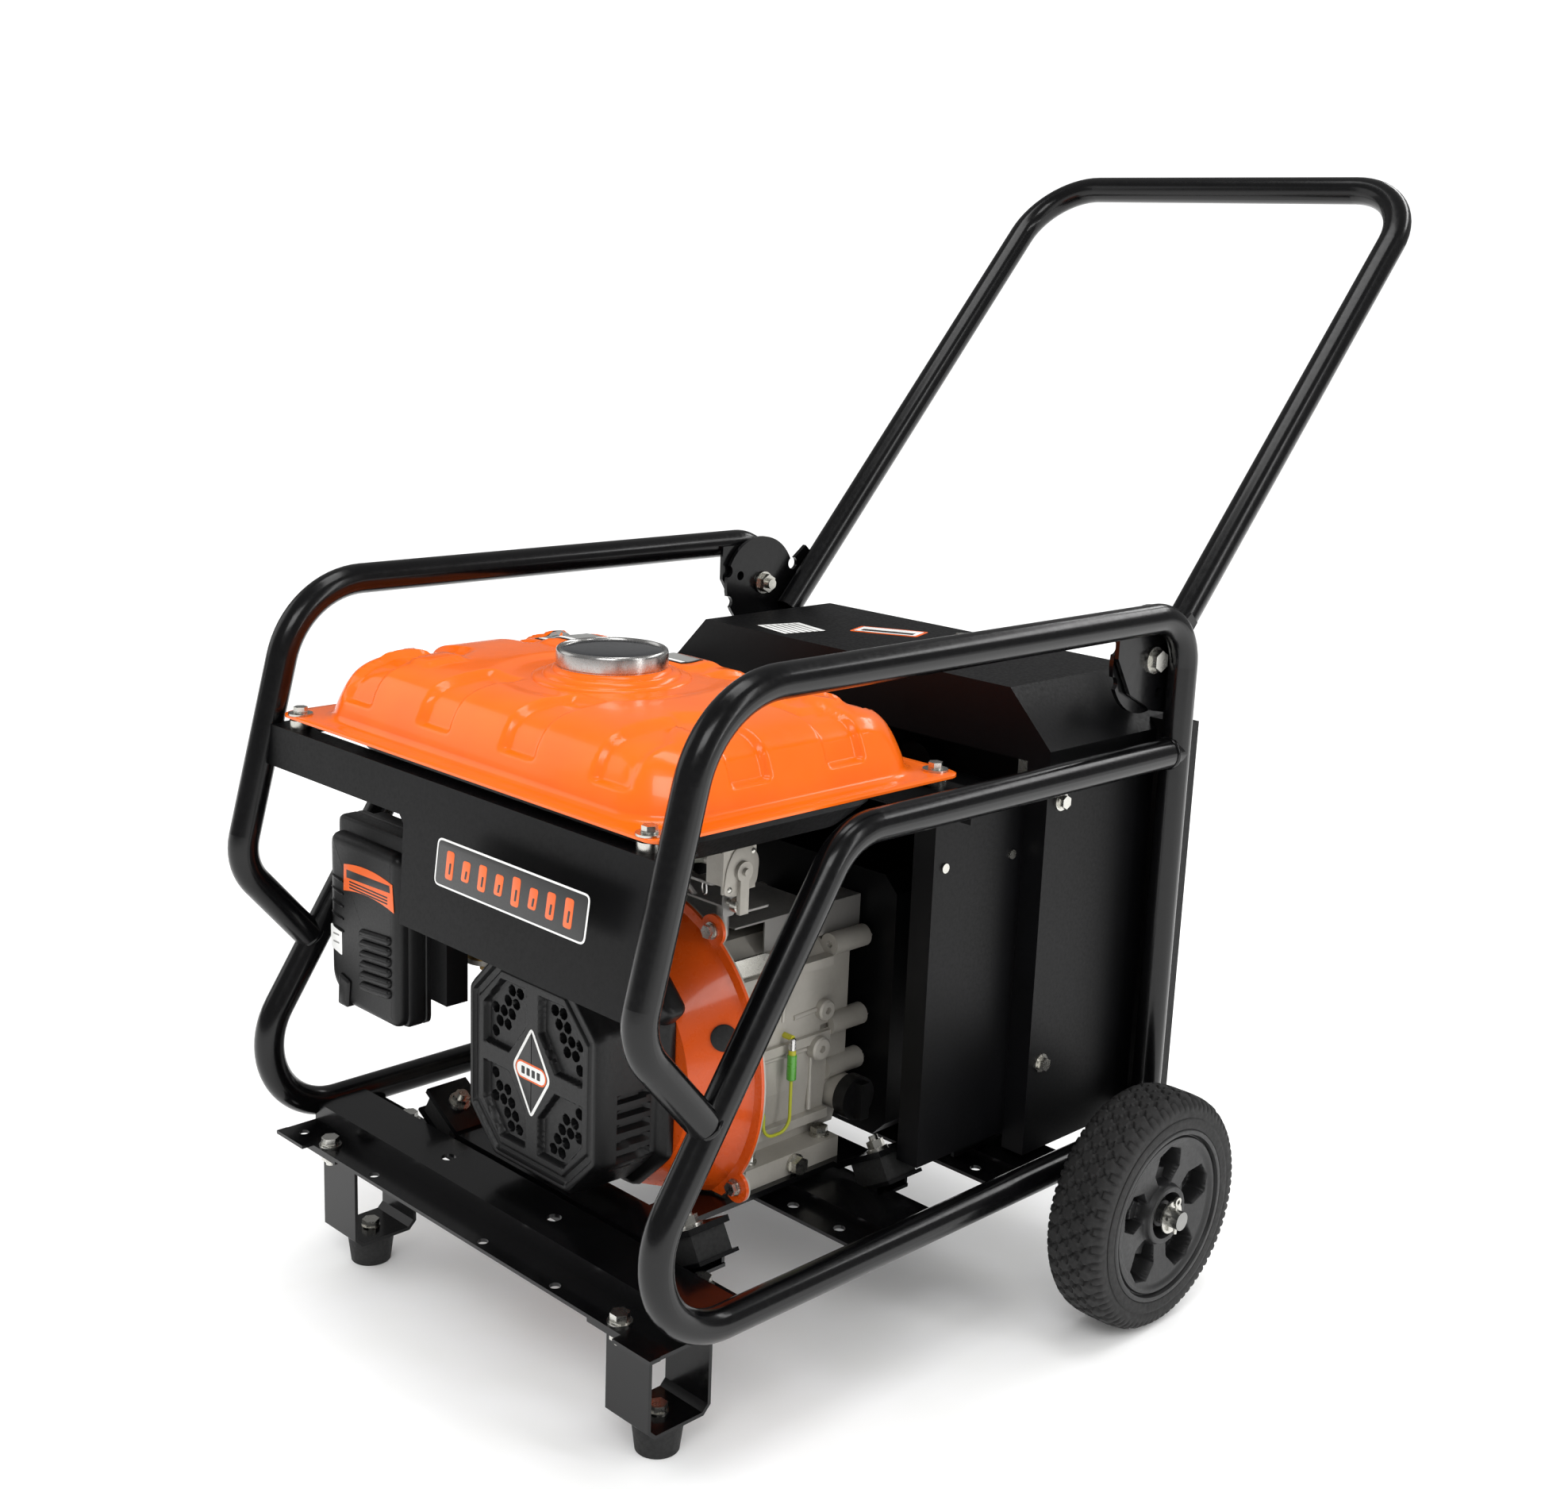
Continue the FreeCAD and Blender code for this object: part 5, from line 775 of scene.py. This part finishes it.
# %% Weld beads
r = 12.6    # outside radius of the tubes, less a tenth so that the bead bites
bead = [(r - 1, -2), (r + 0.6, -2), (r + 1.5, -0.8), (r + 1.7, 0.6), (r + 1, 2), (r - 1, 2), (r - 1, -2)]
for side_x, word in ((252, "right"), (-252, "left")):
    for name, at_weld, way in (("low", (side_x, 66.5, 286), (0, -0.656, 0.755)),
                               ("rail", (side_x, 586, 472), (0, 1, 0))):
        fit("weld_%s_%s" % (name, word), turned(bead, at_weld, way, 48), POWDER, "frame_black")

# %% [markdown]
# ## Ends and fixings that catch the light
# A connector on the sensor wire, a pin through each axle end, plates on the tank's rear pads and a clip on
# the linkage. Each is small, but bright enough to be missed when absent.

# %% Connector and axle pins
SLEEVE = finish_of("clear_green_sleeve", "#4f9a2c", "#3f8526", 1.2, 0.3, 0.05, 0.004, coat=0.5)
for name, low, high, r, ink in (("wire_sleeve", 214, 236, 4.1, SLEEVE),
                                ("wire_ferrule", 234, 250, 2.9, CHROME)):
    tall = high - low
    barrel = [(0, 0), (r - 0.6, 0), (r, 0.8), (r, tall - 0.8), (r - 0.6, tall), (0, tall)]
    fit(name, turned(barrel, (118, 286, low), (0, 0, 1), 24), ink, "wire")
for side, word in ((1, "right"), (-1, "left")):
    x = side * 345.5
    pin = [(x, AXLE_Y - 13, AXLE_Z + 4), (x, AXLE_Y, AXLE_Z + 1), (x, AXLE_Y + 13, AXLE_Z - 5)]
    fit("axle_pin_" + word, rod(easy_line(pin, 12), 1.5, 10), ZINC, "zinc_steel")
print("connector and pins fitted")


# %% Plates on the tank's rear pads
def draped(name, x0, y0, w, d, lift, finish):
    """Plate laid on the tank: heights are means of the 6 nearest tank points, weights 1/(distance + 1)."""
    gx, gy = np.meshgrid(np.linspace(x0 - w / 2, x0 + w / 2, 16), np.linspace(y0 - d / 2, y0 + d / 2, 10))
    far = np.hypot(gx[..., None] - rings[..., 0].ravel(), gy[..., None] - rings[..., 1].ravel())
    order = np.argsort(far, axis=-1)[..., :6]
    weight = 1 / (np.take_along_axis(far, order, -1) + 1.0)
    height = (rings[..., 2].ravel()[order] * weight).sum(-1) / weight.sum(-1) + lift
    loops = [np.stack([gx, gy, height], -1), np.stack([gx, gy, height - 1.5], -1)[:, ::-1]]
    loop = np.concatenate(loops, 1)
    return fit(name, (loop.reshape(-1, 3), tube_faces(*loop.shape[:2])), finish, "tank_orange")


for name, x0, y0, w, d in (("tank_note_a", -135, 254, 54, 36), ("tank_note_b", -22, 268, 52, 24)):
    draped(name + "_edge", x0, y0, w, d, 0.7, INK)
    draped(name + "_field", x0, y0 + 3, w - 4, d - 10, 0.9, GREY_INK)
    draped(name + "_band", x0, y0 - d / 2 + 4.5, w - 6, 5, 0.95, PLATE_WHITE)

# %% Clip, arm and link of the linkage
clip = [(99, 200, 398), (97.5, 200, 391), (99.5, 200, 386), (102.5, 200, 388), (101.5, 200, 398)]
fit("linkage_clip", rod(easy_line(clip, 30), 0.7, 8), CHROME, "zinc_steel")
arm = round_corners([(72, 196), (112, 196), (112, 204), (72, 204)], 3)
fit("linkage_arm", raised(arm, [(0, 0), (0, 2), (0.4, 2.4)], (0, 0, 396), *TOP), TIN, "tin_grey")
fit("linkage_link", rod([(76, 200, 397), (76, 204, 387), (76, 212, 377)], 2.2, 10), TIN, "tin_grey")
print("fixings ready")

# %% [markdown]
# ## Floor, light and camera
# A pale sweep and wide soft lamps suit a black machine: its tubes show only what they mirror, so long
# lamps beside and above draw the bright lines along them. The camera stands at the front right corner.

# %% Floor and lamps
floor_finish = finish_of("pale_studio_floor", "#fefefe", "#fcfcfb", 6.0, 0.8, 0.03, 0.002, specular=0.1)
bpy.ops.mesh.primitive_plane_add(size=30.0, location=(0, 0, -0.0005))
floor = bpy.context.object
floor.name = "studio_floor"
floor.data.materials.append(floor_finish)

bpy.context.scene.view_settings.view_transform = "Standard"
world = bpy.data.worlds.new("studio")
bpy.context.scene.world = world
world.use_nodes = True
nodes, links = world.node_tree.nodes, world.node_tree.links
nodes["Background"].inputs[0].default_value = (1.0, 1.0, 1.0, 1.0)
path, level = nodes.new("ShaderNodeLightPath"), nodes.new("ShaderNodeMapRange")
level.inputs[3].default_value, level.inputs[4].default_value = 1.14, 0.22
links.new(path.outputs["Is Glossy Ray"], level.inputs[0])
links.new(level.outputs[0], nodes["Background"].inputs[1])


def lamp(name, place, aim, size, power):
    """Area lamp at a place, turned to shine on a point."""
    data = bpy.data.lights.new(name, "AREA")
    data.shape, data.size, data.size_y, data.energy = "RECTANGLE", size[0], size[1], power
    thing = bpy.data.objects.new(name, data)
    bpy.context.scene.collection.objects.link(thing)
    thing.location = place
    way = Vector(aim) - Vector(place)
    thing.rotation_euler = way.to_track_quat("-Z", "Y").to_euler()
    return thing


lamp("key", (1.6, -2.2, 2.6), (0, 0, 0.4), (1.6, 1.0), 26)
lamp("fill", (-2.6, -1.6, 1.6), (0, 0, 0.4), (1.8, 1.8), 9)
lamp("back_strip", (0.6, 2.6, 2.4), (0, 0, 0.5), (3.0, 0.5), 26)
lamp("side_strip", (2.8, 0.6, 1.5), (0, 0, 0.4), (0.35, 2.4), 16)
lamp("top", (0.0, -0.2, 3.2), (0, 0, 0.4), (2.4, 0.8), 22)

# %% Camera
az, el, roll = (math.radians(v) for v in (44.86, 13.6, 2.25))
back = Vector((math.sin(az) * math.cos(el), -math.cos(az) * math.cos(el), math.sin(el)))
right = (-back).cross(Vector((0, 0, 1))).normalized()
up = right.cross(-back)
cam_x = math.cos(roll) * right + math.sin(roll) * up
cam_y = -math.sin(roll) * right + math.cos(roll) * up
camera = bpy.data.objects.new("camera", bpy.data.cameras.new("camera"))
bpy.context.scene.collection.objects.link(camera)
camera.data.sensor_width, camera.data.lens = 36.0, 2501.0 / 1976.0 * 36.0
camera.data.shift_x, camera.data.shift_y = -0.0005, -0.001
camera.rotation_mode = "QUATERNION"
camera.rotation_quaternion = Matrix((cam_x, cam_y, back)).transposed().to_quaternion()
camera.location = Vector((1.1727, -0.7965 - Y_SHIFT / 1000.0, 0.8622))
camera.data.clip_start = 0.01
bpy.context.scene.camera = camera
print("camera at", [round(v, 3) for v in camera.location])
